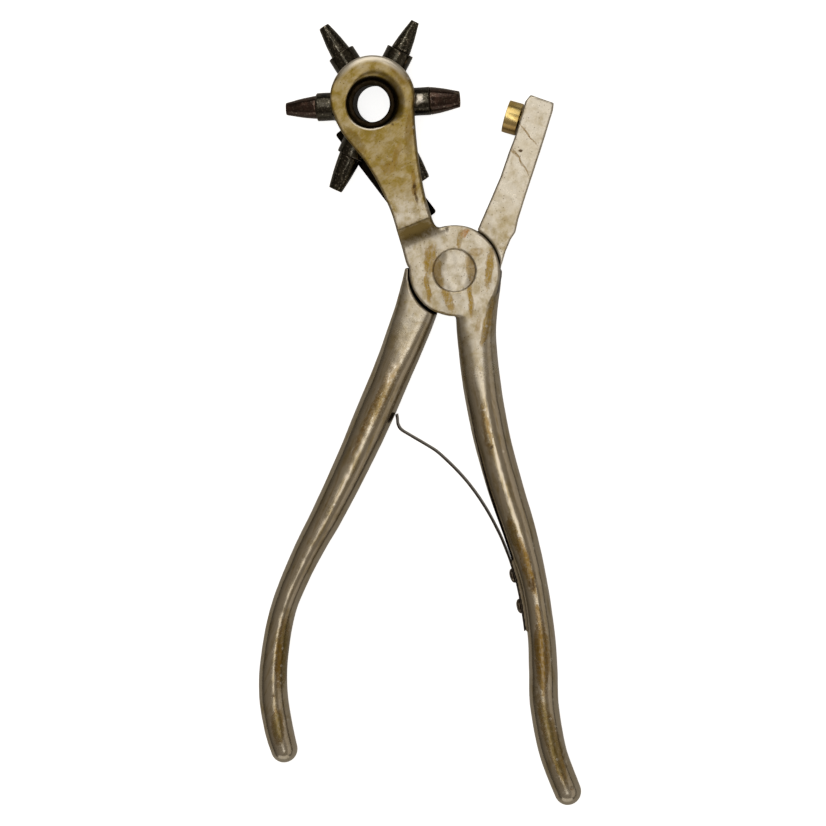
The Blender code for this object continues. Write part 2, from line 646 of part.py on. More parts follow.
def build():
    clear_scene()
    turret_axis = bpy.data.objects.new("turret_axis", None)
    bpy.context.scene.collection.objects.link(turret_axis)
    turret_axis.location = (TURRET[0], TURRET[1], MID_Z)

    build_punch_lever()
    build_pivot_rivet()
    build_anvil_lever()
    build_anvil()
    build_turret_hub(turret_axis)
    for name, sizes in TUBES.items():
        build_punch_tube(name, turret_axis, *sizes)
    build_axle_sleeve()
    build_washer("axle_washer", REAR_WASHER_R, REAR_WASHER_Z)
    build_washer("turret_washer", FRONT_WASHER_R, FRONT_WASHER_Z)
    build_index_spring()
    for number, place in enumerate(INDEX_RIVET_PLACES, start=1):
        build_index_rivet(f"index_rivet_{number}", place)
    build_handle_spring()
    for name, (x, y, angle) in SPRING_RIVETS.items():
        build_spring_rivet(name, x, y, angle)


build()
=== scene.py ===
"""Looks of the six-tube revolving leather punch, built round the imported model.

Shapes are worked out in millimetres, and become metres when their mesh is made.
"""

import json
import math

import bpy
import numpy as np
from mathutils import Matrix, Vector, noise


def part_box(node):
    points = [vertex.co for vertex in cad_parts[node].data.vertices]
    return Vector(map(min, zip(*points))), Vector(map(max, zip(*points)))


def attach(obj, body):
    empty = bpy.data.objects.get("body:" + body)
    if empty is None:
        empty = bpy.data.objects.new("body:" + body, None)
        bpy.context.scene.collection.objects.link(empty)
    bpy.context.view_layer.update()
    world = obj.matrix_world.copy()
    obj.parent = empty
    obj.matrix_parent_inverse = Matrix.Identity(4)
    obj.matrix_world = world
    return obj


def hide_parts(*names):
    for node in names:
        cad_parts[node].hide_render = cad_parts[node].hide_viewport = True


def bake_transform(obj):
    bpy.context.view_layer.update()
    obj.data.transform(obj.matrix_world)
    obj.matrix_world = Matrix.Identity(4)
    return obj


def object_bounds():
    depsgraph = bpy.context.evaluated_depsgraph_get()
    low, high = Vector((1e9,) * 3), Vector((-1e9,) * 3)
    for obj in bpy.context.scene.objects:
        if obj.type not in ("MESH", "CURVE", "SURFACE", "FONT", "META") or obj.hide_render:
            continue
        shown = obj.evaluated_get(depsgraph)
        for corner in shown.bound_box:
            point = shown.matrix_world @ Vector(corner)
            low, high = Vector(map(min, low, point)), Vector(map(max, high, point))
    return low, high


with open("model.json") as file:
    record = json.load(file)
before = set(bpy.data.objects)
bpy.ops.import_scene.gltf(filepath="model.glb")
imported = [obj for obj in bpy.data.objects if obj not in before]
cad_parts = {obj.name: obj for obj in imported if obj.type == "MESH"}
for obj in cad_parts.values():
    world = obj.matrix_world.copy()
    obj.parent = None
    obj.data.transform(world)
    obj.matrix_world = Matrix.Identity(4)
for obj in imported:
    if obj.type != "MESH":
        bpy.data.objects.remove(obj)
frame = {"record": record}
CAD_BOX = [list(corner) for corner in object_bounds()]

MM = 0.001


# ---- sizes read from the frame, in millimetres ---------------------------------------------
def joint_place(name):
    joint = next(j for j in frame["record"]["behaviour"]["joints"] if j["name"] == name)
    return tuple(value / MM for value in joint["pos_m"])


def node_box(name):
    low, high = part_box(name)
    return [value / MM for value in low], [value / MM for value in high]


TURRET_X, TURRET_Y, MID_Z = joint_place("turret_spin")
TURRET = (TURRET_X, TURRET_Y)
CHEEK_FRONT = node_box("punch_lever")[1][2]
LEVER_FRONT = node_box("pivot_rivet")[1][2]
RIVET_R = node_box("pivot_rivet")[1][0]
AXLE_LOW, AXLE_HIGH = node_box("axle_sleeve")
ARM_REAR, ARM_FRONT = 0.3, 10.7

# ---- the CAD model's sizes, in millimetres and radians -------------------------------------
DISC_R = 13.05
REAR_DISC_R = 12.6
LAP_GAP = 0.3
RUN_GAP = 0.25
GAP = 0.3
SEAT_GAP = 0.05
PIVOT_SHANK_R = 4.0
PIVOT_HEAD_T = 1.4
SHOULDER_RELIEF = (-0.7, -1.0)
SHOULDER_RELIEF_R = 13.1
CHEEK_REAR = 9.85
RING_CENTRE = (-23.45, 49.6)
RING_R = 12.1
BEND_POINT = (-11.3, 13.5)
BEND_ANGLE = math.radians(21.8)
BEND_LENGTH = 3.3
COUNTERSINK_R = 7.9
COUNTERSINK_FLOOR_R = 7.1
COUNTERSINK_FLOOR = 11.2
WELL_R = 27.6
TURRET_PHASE = math.radians(3.1)
TUBE_STEP = math.tau / 6
HUB_R = 11.8
HUB_HALF_DEPTH = 3.75
BOSS_R = 4.05
DETENT_RADIUS = 8.9
AXLE_BORE_R = 5.37
AXLE_R = 5.95
AXLE_WINDOW = 4.2
SLUG_CHANNEL_R = 2.3
TUBE_SHANK_R = 2.55
TUBE_SHANK_START = 8.0
TUBE_WALL_AT_TIP = 0.3
# tubes: angle step, distances of the boss's face and of the tip, tip radius and base radius
TUBES = {
    "punch_tube_1": (1, 17.1, 26.5, 1.20, 2.85),
    "punch_tube_2": (2, 17.5, 26.6, 1.55, 2.95),
    "punch_tube_3": (3, 16.5, 25.5, 1.80, 3.35),
    "punch_tube_4": (4.04, 16.5, 27.1, 2.00, 3.30),
    "punch_tube_5": (5, 16.5, 26.2, 2.10, 3.30),
    "punch_tube_6": (0, 16.5, 24.9, 2.35, 4.00),
}
INDEX_END = (-9.95, 13.9)
INDEX_ANGLE = math.radians(127.5)
INDEX_LENGTH = 35.7
INDEX_HALF_WIDTH = 4.95
INDEX_Z = (0.5, 1.15)
INDEX_RELIEF_R = 7.5
INDEX_RIVET_PLACES = (2.8, 7.2)
ANVIL_FACE = (14.4, 44.4)
ANVIL_ANGLE = math.radians(163.9)
ANVIL_R = 4.7
ANVIL_T = 4.1
ANVIL_SHANK_R = 2.4
ANVIL_SHANK_L = 3.6
SPRING_T = 0.4
SPRING_HALF_WIDTH = 2.5
SPRING_RIVETS = {
    "handle_spring_rivet_1": (17.3, -88.3, math.radians(195.0)),
    "handle_spring_rivet_2": (19.3, -97.2, math.radians(191.0)),
}

# handles: centre x, centre y, half width, half depth, squareness of the section
PUNCH_HANDLE = [
    (6.6, 0.2, 6.75, 5.5, 6.0),
    (6.0, -12.0, 5.85, 5.5, 5.0),
    (6.2, -21.3, 5.5, 5.45, 3.2),
    (7.9, -35.2, 5.45, 5.3, 2.4),
    (10.6, -49.1, 5.25, 5.2, 2.3),
    (14.45, -63.0, 5.1, 5.1, 2.3),
    (18.9, -76.9, 4.7, 5.0, 2.3),
    (22.7, -90.9, 3.95, 5.0, 2.4),
    (24.8, -104.8, 3.95, 4.9, 2.4),
    (25.5, -115.5, 4.15, 4.9, 2.3),
    (25.9, -126.5, 4.15, 4.8, 2.3),
    (28.4, -139.9, 4.0, 4.7, 2.3),
    (32.7, -151.5, 3.9, 4.5, 2.2),
]
ANVIL_HANDLE = [
    (-9.3, 0.1, 5.2, 5.5, 6.0),
    (-10.3, -7.0, 5.9, 5.5, 5.0),
    (-12.6, -14.5, 5.95, 5.5, 4.0),
    (-18.0, -28.4, 5.6, 5.4, 2.5),
    (-24.0, -42.4, 5.5, 5.3, 2.3),
    (-30.3, -56.4, 5.05, 5.2, 2.3),
    (-37.2, -70.5, 4.6, 5.1, 2.3),
    (-44.6, -84.6, 4.05, 5.0, 2.3),
    (-50.5, -98.8, 3.75, 4.9, 2.3),
    (-53.2, -112.9, 3.95, 4.9, 2.3),
    (-53.6, -124.0, 4.15, 4.8, 2.3),
    (-52.1, -134.1, 4.15, 4.7, 2.3),
    (-50.5, -140.4, 3.9, 4.5, 2.2),
]
# outlines, anticlockwise
NECK_LEFT = [(-34.0, 43.2), (-32.9, 40.8), (-31.3, 38.4), (-29.2, 35.8), (-25.2, 30.8),
             (-21.4, 24.4), (-18.4, 17.8), (-16.8, 13.1), (-16.0, 9.9), (-15.0, 6.0),
             (-14.0, 2.4), (-13.4, 1.1)]
NECK_RIGHT = [(-3.0, 8.0), (-2.3, 12.1), (-4.1, 12.1), (-5.7, 13.3), (-6.8, 16.2),
              (-8.4, 21.6), (-9.7, 28.3), (-10.8, 36.6), (-11.3, 42.0), (-11.5, 46.0)]
ARM_LEFT = [(21.8, 50.3), (20.3, 48.4), (17.7, 39.5), (16.8, 36.9), (15.9, 34.7), (13.2, 26.9),
            (8.8, 16.7), (6.6, 11.7), (3.5, 5.0), (10.0, 0.95)]
ARM_RIGHT = [(13.45, 0.95), (14.7, 5.3), (16.2, 9.0), (17.6, 11.1), (18.4, 14.8), (20.25, 20.7),
             (25.35, 36.4), (28.3, 45.9), (28.5, 48.0)]
ARM_DRAFT = 1.0
NECK_RELIEF = [(-7.2, 11.5), (-1.5, 11.5), (-1.5, 30.0), (-11.8, 30.0), (-11.3, 27.5),
               (-10.0, 21.4), (-8.6, 16.4), (-7.6, 14.0)]
SPRING_PATH = [(-17.2, -41.7), (-17.0, -42.9), (-16.8, -44.6), (-15.8, -46.2), (-13.2, -47.8),
               (-8.9, -50.3), (-5.4, -52.5), (-1.6, -55.9), (1.9, -59.5), (4.8, -63.0),
               (7.3, -66.5), (9.5, -70.0), (11.4, -73.5), (13.1, -76.9), (14.6, -80.5),
               (16.0, -84.2), (17.7, -89.7), (19.2, -96.7), (20.3, -104.2)]


# ---- signed distances, negative inside a shape ---------------------------------------------
def smooth_path(points, steps):
    """Points on a Catmull-Rom curve through the given points, of any dimension."""
    result = []
    last = len(points) - 1
    for i in range(last):
        p0 = points[max(i - 1, 0)]
        p1 = points[i]
        p2 = points[i + 1]
        p3 = points[min(i + 2, last)]
        for step in range(steps):
            t = step / steps
            result.append(tuple(
                0.5 * (2 * b + (c - a) * t + (2 * a - 5 * b + 4 * c - d) * t * t
                       + (3 * b - a - 3 * c + d) * t ** 3)
                for a, b, c, d in zip(p0, p1, p2, p3)))
    result.append(tuple(points[last]))
    return result


def soft_min(a, b, reach):
    """The lower of two distances, blended where they are within reach of each other."""
    overlap = np.maximum(reach - np.abs(a - b), 0) / reach
    return np.minimum(a, b) - overlap * overlap * reach / 4


def soft_max(a, b, reach):
    return -soft_min(-a, -b, reach)


def join(shape, other, fillet=0.5):
    return soft_min(shape, other, fillet)


def cut(shape, hole, edge=0.4):
    return soft_max(shape, -hole, edge)


def step_between(value, low, high):
    """0 below low, 1 above high, and a smooth step between them."""
    t = np.clip((value - low) / (high - low), 0, 1)
    return t * t * (3 - 2 * t)


def chain_distance(x, y, points):
    """Distance to an open chain of points, and the place on it in whole steps and parts."""
    best = np.full(np.broadcast(x, y).shape, np.inf, np.float32)
    place = np.zeros_like(best)
    for i, (p, q) in enumerate(zip(points, points[1:])):
        run = (q[0] - p[0], q[1] - p[1])
        length = run[0] ** 2 + run[1] ** 2
        t = np.clip(((x - p[0]) * run[0] + (y - p[1]) * run[1]) / length, 0, 1)
        square = (x - p[0] - run[0] * t) ** 2 + (y - p[1] - run[1] * t) ** 2
        nearer = square < best
        best = np.where(nearer, square, best)
        place = np.where(nearer, i + t, place)
    return np.sqrt(best), place


def outline_distance(x, y, points):
    """Signed distance to a closed outline."""
    closed = points + points[:1]
    away, _ = chain_distance(x, y, closed)
    inside = np.zeros(away.shape, bool)
    for p, q in zip(closed, closed[1:]):
        if p[1] == q[1]:
            continue
        crossing = p[0] + (q[0] - p[0]) * (y - p[1]) / (q[1] - p[1])
        inside ^= ((p[1] > y) != (q[1] > y)) & (x < crossing)
    return np.where(inside, -away, away)


def rounded(plan, face, radius):
    """What is behind both a plan's edge and a face, with a rounded edge where they meet."""
    corner = np.hypot(np.maximum(plan + radius, 0), np.maximum(face + radius, 0))
    return corner + np.minimum(np.maximum(plan, face) + radius, 0) - radius


def plate(plan, z, low, high, low_round=0.4, high_round=0.4):
    return np.maximum(rounded(plan, low - z, low_round), rounded(plan, z - high, high_round))


def drum(x, y, z, centre, radius, low, high, low_round=0.3, high_round=0.3):
    plan = np.hypot(x - centre[0], y - centre[1]) - radius
    return plate(plan, z, low, high, low_round, high_round)


def level_drum(x, y, z, angle, radius, start, end, edge=0.3):
    """A round bar in the plane z = 0, along an angle, from start to end."""
    along = x * math.cos(angle) + y * math.sin(angle)
    across = y * math.cos(angle) - x * math.sin(angle)
    return plate(np.hypot(across, z) - radius, along, start, end, edge, edge)


def handle(x, y, z, stations):
    """A bar of oval section along the stations, cut square at its start and round at its end."""
    path = smooth_path(stations, 10)
    away, place = chain_distance(x[:, :, 0], y[:, :, 0], [point[:2] for point in path])
    width, depth, squareness = (
        np.interp(place, range(len(path)), [point[k] for point in path])[:, :, None]
        for k in (2, 3, 4))
    across = (away[:, :, None] / width) ** squareness
    through = (np.abs(z - depth) / depth) ** squareness
    section = (np.maximum(across + through, 1e-6) ** (1 / squareness) - 1) * width
    start, ahead = Vector(path[0][:2]), Vector(path[1][:2])
    run = (ahead - start).normalized()
    square_end = -(x - start.x) * run.x - (y - start.y) * run.y
    return np.maximum(section, square_end)


# ---- meshes ----------------------------------------------------------------------------------
def surface_net(values, low, step):
    """Points and quads where a grid of signed distances crosses zero."""
    inside = values < 0
    shape = values.shape
    count = np.zeros([n - 1 for n in shape], np.int8)
    for i, j, k in np.ndindex(2, 2, 2):
        count += inside[i:shape[0] - 1 + i, j:shape[1] - 1 + j, k:shape[2] - 1 + k]
    cells = np.argwhere((count > 0) & (count < 8))
    number = np.full(count.shape, -1, np.int64)
    number[tuple(cells.T)] = np.arange(len(cells))
    total = np.zeros((len(cells), 3))
    hits = np.zeros(len(cells))
    quads = []
    for axis in range(3):
        forward = np.eye(3, dtype=int)[axis]
        u, v = (axis + 1) % 3, (axis + 2) % 3
        for p, q in np.ndindex(2, 2):
            start = cells.copy()
            start[:, u] += p
            start[:, v] += q
            a = values[tuple(start.T)]
            b = values[tuple((start + forward).T)]
            crossed = (a < 0) != (b < 0)
            t = np.where(crossed, a / np.where(crossed, a - b, 1), 0)
            total += np.where(crossed[:, None], start + t[:, None] * forward, 0)
            hits += crossed
        starts = np.argwhere(np.diff(inside, axis=axis))
        starts = starts[(starts[:, u] > 0) & (starts[:, v] > 0)]
        starts = starts[(starts[:, u] < shape[u] - 1) & (starts[:, v] < shape[v] - 1)]
        ring = []
        for du, dv in ((-1, -1), (0, -1), (0, 0), (-1, 0)):
            cell = starts.copy()
            cell[:, u] += du
            cell[:, v] += dv
            ring.append(number[tuple(cell.T)])
        quad = np.stack(ring, 1)
        solid_first = inside[tuple(starts.T)]
        quads.append(np.where(solid_first[:, None], quad, quad[:, ::-1]))
    points = np.asarray(low) + step * total / hits[:, None]
    return points, np.concatenate(quads)


def mesh_object(name, points, faces):
    """A smooth-shaded object from points in millimetres and faces of one size."""
    mesh = bpy.data.meshes.new(name)
    faces = np.asarray(faces, np.int32)
    count, sides = faces.shape
    mesh.vertices.add(len(points))
    mesh.vertices.foreach_set("co", (np.asarray(points) * MM).astype(np.float32).ravel())
    mesh.loops.add(count * sides)
    mesh.loops.foreach_set("vertex_index", faces.ravel())
    mesh.polygons.add(count)
    mesh.polygons.foreach_set("loop_start", np.arange(0, count * sides, sides, dtype=np.int32))
    mesh.update(calc_edges=True)
    mesh.validate()
    mesh.shade_smooth()
    item = bpy.data.objects.new(name, mesh)
    bpy.context.scene.collection.objects.link(item)
    return item


def carve(name, low, high, step, field, turn=None):
    """A closed mesh of the shape whose signed distance is field(x, y, z), in a box."""
    axes = [np.arange(a, b + step, step, dtype=np.float32) for a, b in zip(low, high)]
    x, y, z = np.meshgrid(*axes, indexing="ij", sparse=True)
    values = np.broadcast_to(field(x, y, z), [len(axis) for axis in axes])
    points, quads = surface_net(values, [axis[0] for axis in axes], step)
    if turn is not None:
        matrix = np.array(turn)
        points = points @ matrix[:3, :3].T + matrix[:3, 3]
    return mesh_object(name, points, quads)


def lathe(name, profile, sides, matrix):
    """A solid turned about Z from a profile of radius and height, closed on the axis."""
    inner = [point for point in profile if point[0] > 0]
    closed_ring = len(inner) == len(profile)
    angles = np.arange(sides) * math.tau / sides
    points = [(r * math.cos(a), r * math.sin(a), z) for r, z in inner for a in angles]
    quads = []
    rows = len(inner)
    for row in range(rows if closed_ring else rows - 1):
        for i in range(sides):
            j = (i + 1) % sides
            other = (row + 1) % rows
            quads.append((row * sides + i, row * sides + j, other * sides + j, other * sides + i))
    if not closed_ring:
        for row, (_, z) in ((0, profile[0]), (rows - 1, profile[-1])):
            centre = len(points)
            points.append((0.0, 0.0, z))
            for i in range(0, sides, 2):
                fan = (centre, row * sides + i + 1, row * sides + i, row * sides + (i + 2) % sides)
                a, b, c, d = fan
                quads.append((a, d, b, c) if row else (a, c, b, d))
    turned = [matrix @ Vector(point) for point in points]
    return mesh_object(name, [tuple(point) for point in turned], quads)


def softened(profile, radius, steps=3, closed=False):
    """A profile whose corners are rounded by up to the radius."""
    points = [Vector(point) for point in profile]
    result = []
    count = len(points)
    for i, here in enumerate(points):
        if not closed and i in (0, count - 1):
            result.append(tuple(here))
            continue
        before, after = points[i - 1], points[(i + 1) % count]
        reach_in = min(radius, (before - here).length * 0.45)
        reach_out = min(radius, (after - here).length * 0.45)
        start = here + (before - here).normalized() * reach_in
        end = here + (after - here).normalized() * reach_out
        for k in range(steps + 1):
            t = k / steps
            result.append(tuple(start * (1 - t) ** 2 + here * 2 * t * (1 - t) + end * t * t))
    return result


def waver(item, depth, size, seed):
    """Moves the surface in and out along its normals by smooth noise, as forging and wear do."""
    mesh = item.data
    count = len(mesh.vertices)
    places = np.empty(count * 3, np.float32)
    mesh.vertices.foreach_get("co", places)
    places = places.reshape(-1, 3)
    normals = np.empty(count * 3, np.float32)
    mesh.vertex_normals.foreach_get("vector", normals)
    shift = Vector((seed * 7.1, seed * 3.3, seed * 5.7))
    samples = places / (size * MM)
    heights = np.array([noise.noise(Vector(sample) + shift) for sample in samples.tolist()])
    moved = places + normals.reshape(-1, 3) * (heights[:, None] * depth * MM)
    moved = np.clip(moved, *CAD_BOX)
    mesh.vertices.foreach_set("co", moved.astype(np.float32).ravel())
    mesh.update()


def along(angle, distance):
    return Vector((math.cos(angle), math.sin(angle))) * distance


# ---- materials -------------------------------------------------------------------------------
# how far in millimetres the edges of the blots wander
DRIFT = 1.4


class Finish:
    """One material's nodes. Its patterns are measured in millimetres of the piece's own space."""

    def __init__(self, name, metallic=1.0):
        self.material = bpy.data.materials.new(name)
        self.material.use_nodes = True
        self.tree = self.material.node_tree
        self.shader = self.tree.nodes["Principled BSDF"]
        self.shader.inputs["Metallic"].default_value = metallic
        place = self.node("ShaderNodeTexCoord").outputs["Object"]
        scaled = self.node("ShaderNodeVectorMath", operation="SCALE")
        self.put(scaled.inputs[0], place)
        scaled.inputs["Scale"].default_value = 1 / MM
        self.place = scaled.outputs[0]
        parts = self.node("ShaderNodeSeparateXYZ")
        self.put(parts.inputs[0], self.place)
        self.x, self.y, self.z = parts.outputs
        wander = self.node("ShaderNodeTexNoise")
        self.put(wander.inputs["Vector"], self.stretched(2.6, (1, 1, 1), 0.0))
        wander.inputs["Scale"].default_value = 1.0
        wander.inputs["Detail"].default_value = 4.0
        drift = self.node("ShaderNodeVectorMath", operation="MULTIPLY_ADD")
        self.put(drift.inputs[0], wander.outputs["Color"])
        drift.inputs[1].default_value = (DRIFT, DRIFT, 0)
        drift.inputs[2].default_value = (-DRIFT / 2, -DRIFT / 2, 0)
        drifted = self.node("ShaderNodeVectorMath", operation="ADD")
        self.put(drifted.inputs[0], self.place)
        self.put(drifted.inputs[1], drift.outputs[0])
        drifted_parts = self.node("ShaderNodeSeparateXYZ")
        self.put(drifted_parts.inputs[0], drifted.outputs[0])
        self.drift_x, self.drift_y, _ = drifted_parts.outputs

    def node(self, kind, **settings):
        made = self.tree.nodes.new(kind)
        for key, value in settings.items():
            setattr(made, key, value)
        return made

    def put(self, socket, value):
        if isinstance(value, bpy.types.NodeSocket):
            self.tree.links.new(value, socket)
        else:
            socket.default_value = value

    def maths(self, operation, a, b=0.0, clamp=False):
        made = self.node("ShaderNodeMath", operation=operation, use_clamp=clamp)
        self.put(made.inputs[0], a)
        self.put(made.inputs[1], b)
        return made.outputs[0]

    def add(self, a, b):
        return self.maths("ADD", a, b)

    def less(self, a, b):
        return self.maths("SUBTRACT", a, b)

    def both(self, a, b):
        return self.maths("MULTIPLY", a, b)

    def distance(self, a, b):
        return self.maths("SQRT", self.add(self.both(a, a), self.both(b, b)))

    def either(self, a, b):
        return self.maths("MAXIMUM", a, b)

    def ramp(self, value, low, high, bottom=0.0, top=1.0):
        made = self.node("ShaderNodeMapRange", interpolation_type="SMOOTHSTEP")
        for socket, number in zip(made.inputs, (value, low, high, bottom, top)):
            self.put(socket, number)
        return made.outputs[0]

    def mix(self, factor, a, b):
        made = self.node("ShaderNodeMix", data_type="RGBA")
        self.put(made.inputs[0], factor)
        for socket, colour in ((made.inputs[6], a), (made.inputs[7], b)):
            self.put(socket, colour if isinstance(colour, bpy.types.NodeSocket) else (*colour, 1))
        return made.outputs[2]

    def stretched(self, size, stretch, turn):
        made = self.node("ShaderNodeMapping", vector_type="TEXTURE")
        self.put(made.inputs["Vector"], self.place)
        made.inputs["Rotation"].default_value = (0, 0, turn)
        made.inputs["Scale"].default_value = [size * s for s in stretch]
        return made.outputs[0]

    def noise(self, size, detail=3.0, roughness=0.5, stretch=(1, 1, 1), turn=0.0, warp=0.0, seed=0):
        made = self.node("ShaderNodeTexNoise", noise_dimensions="4D")
        self.put(made.inputs["Vector"], self.stretched(size, stretch, turn))
        made.inputs["W"].default_value = seed
        made.inputs["Scale"].default_value = 1.0
        made.inputs["Detail"].default_value = detail
        made.inputs["Roughness"].default_value = roughness
        made.inputs["Distortion"].default_value = warp
        return made.outputs["Fac"]

    def cells(self, size, stretch=(1, 1, 1), turn=0.0):
        """Distance from scattered points, 0 at each of them."""
        made = self.node("ShaderNodeTexVoronoi")
        self.put(made.inputs["Vector"], self.stretched(size, stretch, turn))
        made.inputs["Scale"].default_value = 1.0
        return made.outputs["Distance"]

    def blot(self, x, y, half_length, half_width, angle, fray, soft):
        """A mask round a long blot in plan, its edge frayed by a noise."""
        turn = math.radians(angle)
        shift_x = self.less(self.drift_x, x)
        shift_y = self.less(self.drift_y, y)
        u = self.add(self.both(shift_x, math.cos(turn) / half_length),
                     self.both(shift_y, math.sin(turn) / half_length))
        v = self.less(self.both(shift_y, math.cos(turn) / half_width),
                      self.both(shift_x, math.sin(turn) / half_width))
        frayed = self.add(self.distance(u, v), self.both(self.less(fray, 0.5), 2.0))
        return self.ramp(frayed, 1 - soft, 1 + soft, 1.0, 0.0)

    def reach(self, centre):
        """Distance in plan from a point."""
        return self.distance(self.less(self.x, centre[0]), self.less(self.y, centre[1]))

    def ring_highlight(self):
        """Painted highlight on the ring's far outer edge and on the lower lip of its hole."""
        edge = self.ramp(self.reach(RING_CENTRE), RING_R - 2.4, RING_R - 0.6, 0.0, 0.95)
        edge = self.both(edge, self.ramp(self.y, RING_CENTRE[1] + 4.0, RING_CENTRE[1] + 9.0))
        reach = self.reach(TURRET)
        hole = COUNTERSINK_FLOOR_R
        lip = self.both(self.ramp(reach, hole - 0.1, hole + 0.15),
                        self.ramp(reach, hole + 0.35, hole + 0.7, 0.8, 0.0))
        return self.either(edge, self.both(lip, self.ramp(self.y, TURRET_Y - 3.0, TURRET_Y - 6.0)))

    def joint_groove_shade(self):
        """Painted shade: the sunken gap round the pivot disc, coloured near-black."""
        reach = self.reach((0.0, 0.0))
        beside = self.both(self.ramp(reach, DISC_R - 0.1, DISC_R + 0.2),
                           self.ramp(reach, DISC_R + 0.75, DISC_R + 1.15, 1.0, 0.0))
        deep = self.both(self.ramp(self.z, MID_Z - 1.2, MID_Z - 0.4),
                         self.ramp(self.z, LEVER_FRONT - 1.6, LEVER_FRONT - 0.5, 1.0, 0.0))
        return self.both(beside, deep)

    def worn_edges(self, low, high):
        return self.ramp(self.node("ShaderNodeNewGeometry").outputs["Pointiness"], low, high)

    def close(self, colour, roughness, height=None, strength=0.3, depth=0.05):
        """Wires the colour, the roughness and a bump of the given depth in millimetres."""
        self.put(self.shader.inputs["Base Color"], colour)
        self.put(self.shader.inputs["Roughness"], roughness)
        if height is not None:
            bump = self.node("ShaderNodeBump")
            bump.inputs["Strength"].default_value = strength
            bump.inputs["Distance"].default_value = depth * MM
            self.put(bump.inputs["Height"], height)
            self.put(self.shader.inputs["Normal"], bump.outputs[0])
        return self.material


NICKEL = (0.60, 0.555, 0.47)
# the bright nickel below paints highlights: on edges, on the ring's far rim and hole lip, and round
# the rust
NICKEL_HIGHLIGHT = (0.80, 0.75, 0.65)
NICKEL_GREY = (0.50, 0.44, 0.345)
CREAM = (0.43, 0.365, 0.25)
TARNISH = (0.315, 0.222, 0.047)
OLIVE = (0.21, 0.145, 0.028)
GOLD = (0.38, 0.24, 0.033)
# brown tarnish tone with painted shade, for the bend's down-facing slope
BEND_SHADE_BROWN = (0.20, 0.145, 0.05)
RUST_ORANGE = (0.42, 0.18, 0.02)
RUST_OCHRE = (0.25, 0.15, 0.032)
RUST_BROWN = (0.075, 0.042, 0.018)
# near-black painted shade for the gap round the pivot disc
GROOVE_SHADE = (0.016, 0.012, 0.008)
CRISP_SHADES = (GOLD, RUST_ORANGE, RUST_OCHRE)
SMOOTH_SHADES = (BEND_SHADE_BROWN, TARNISH, NICKEL)


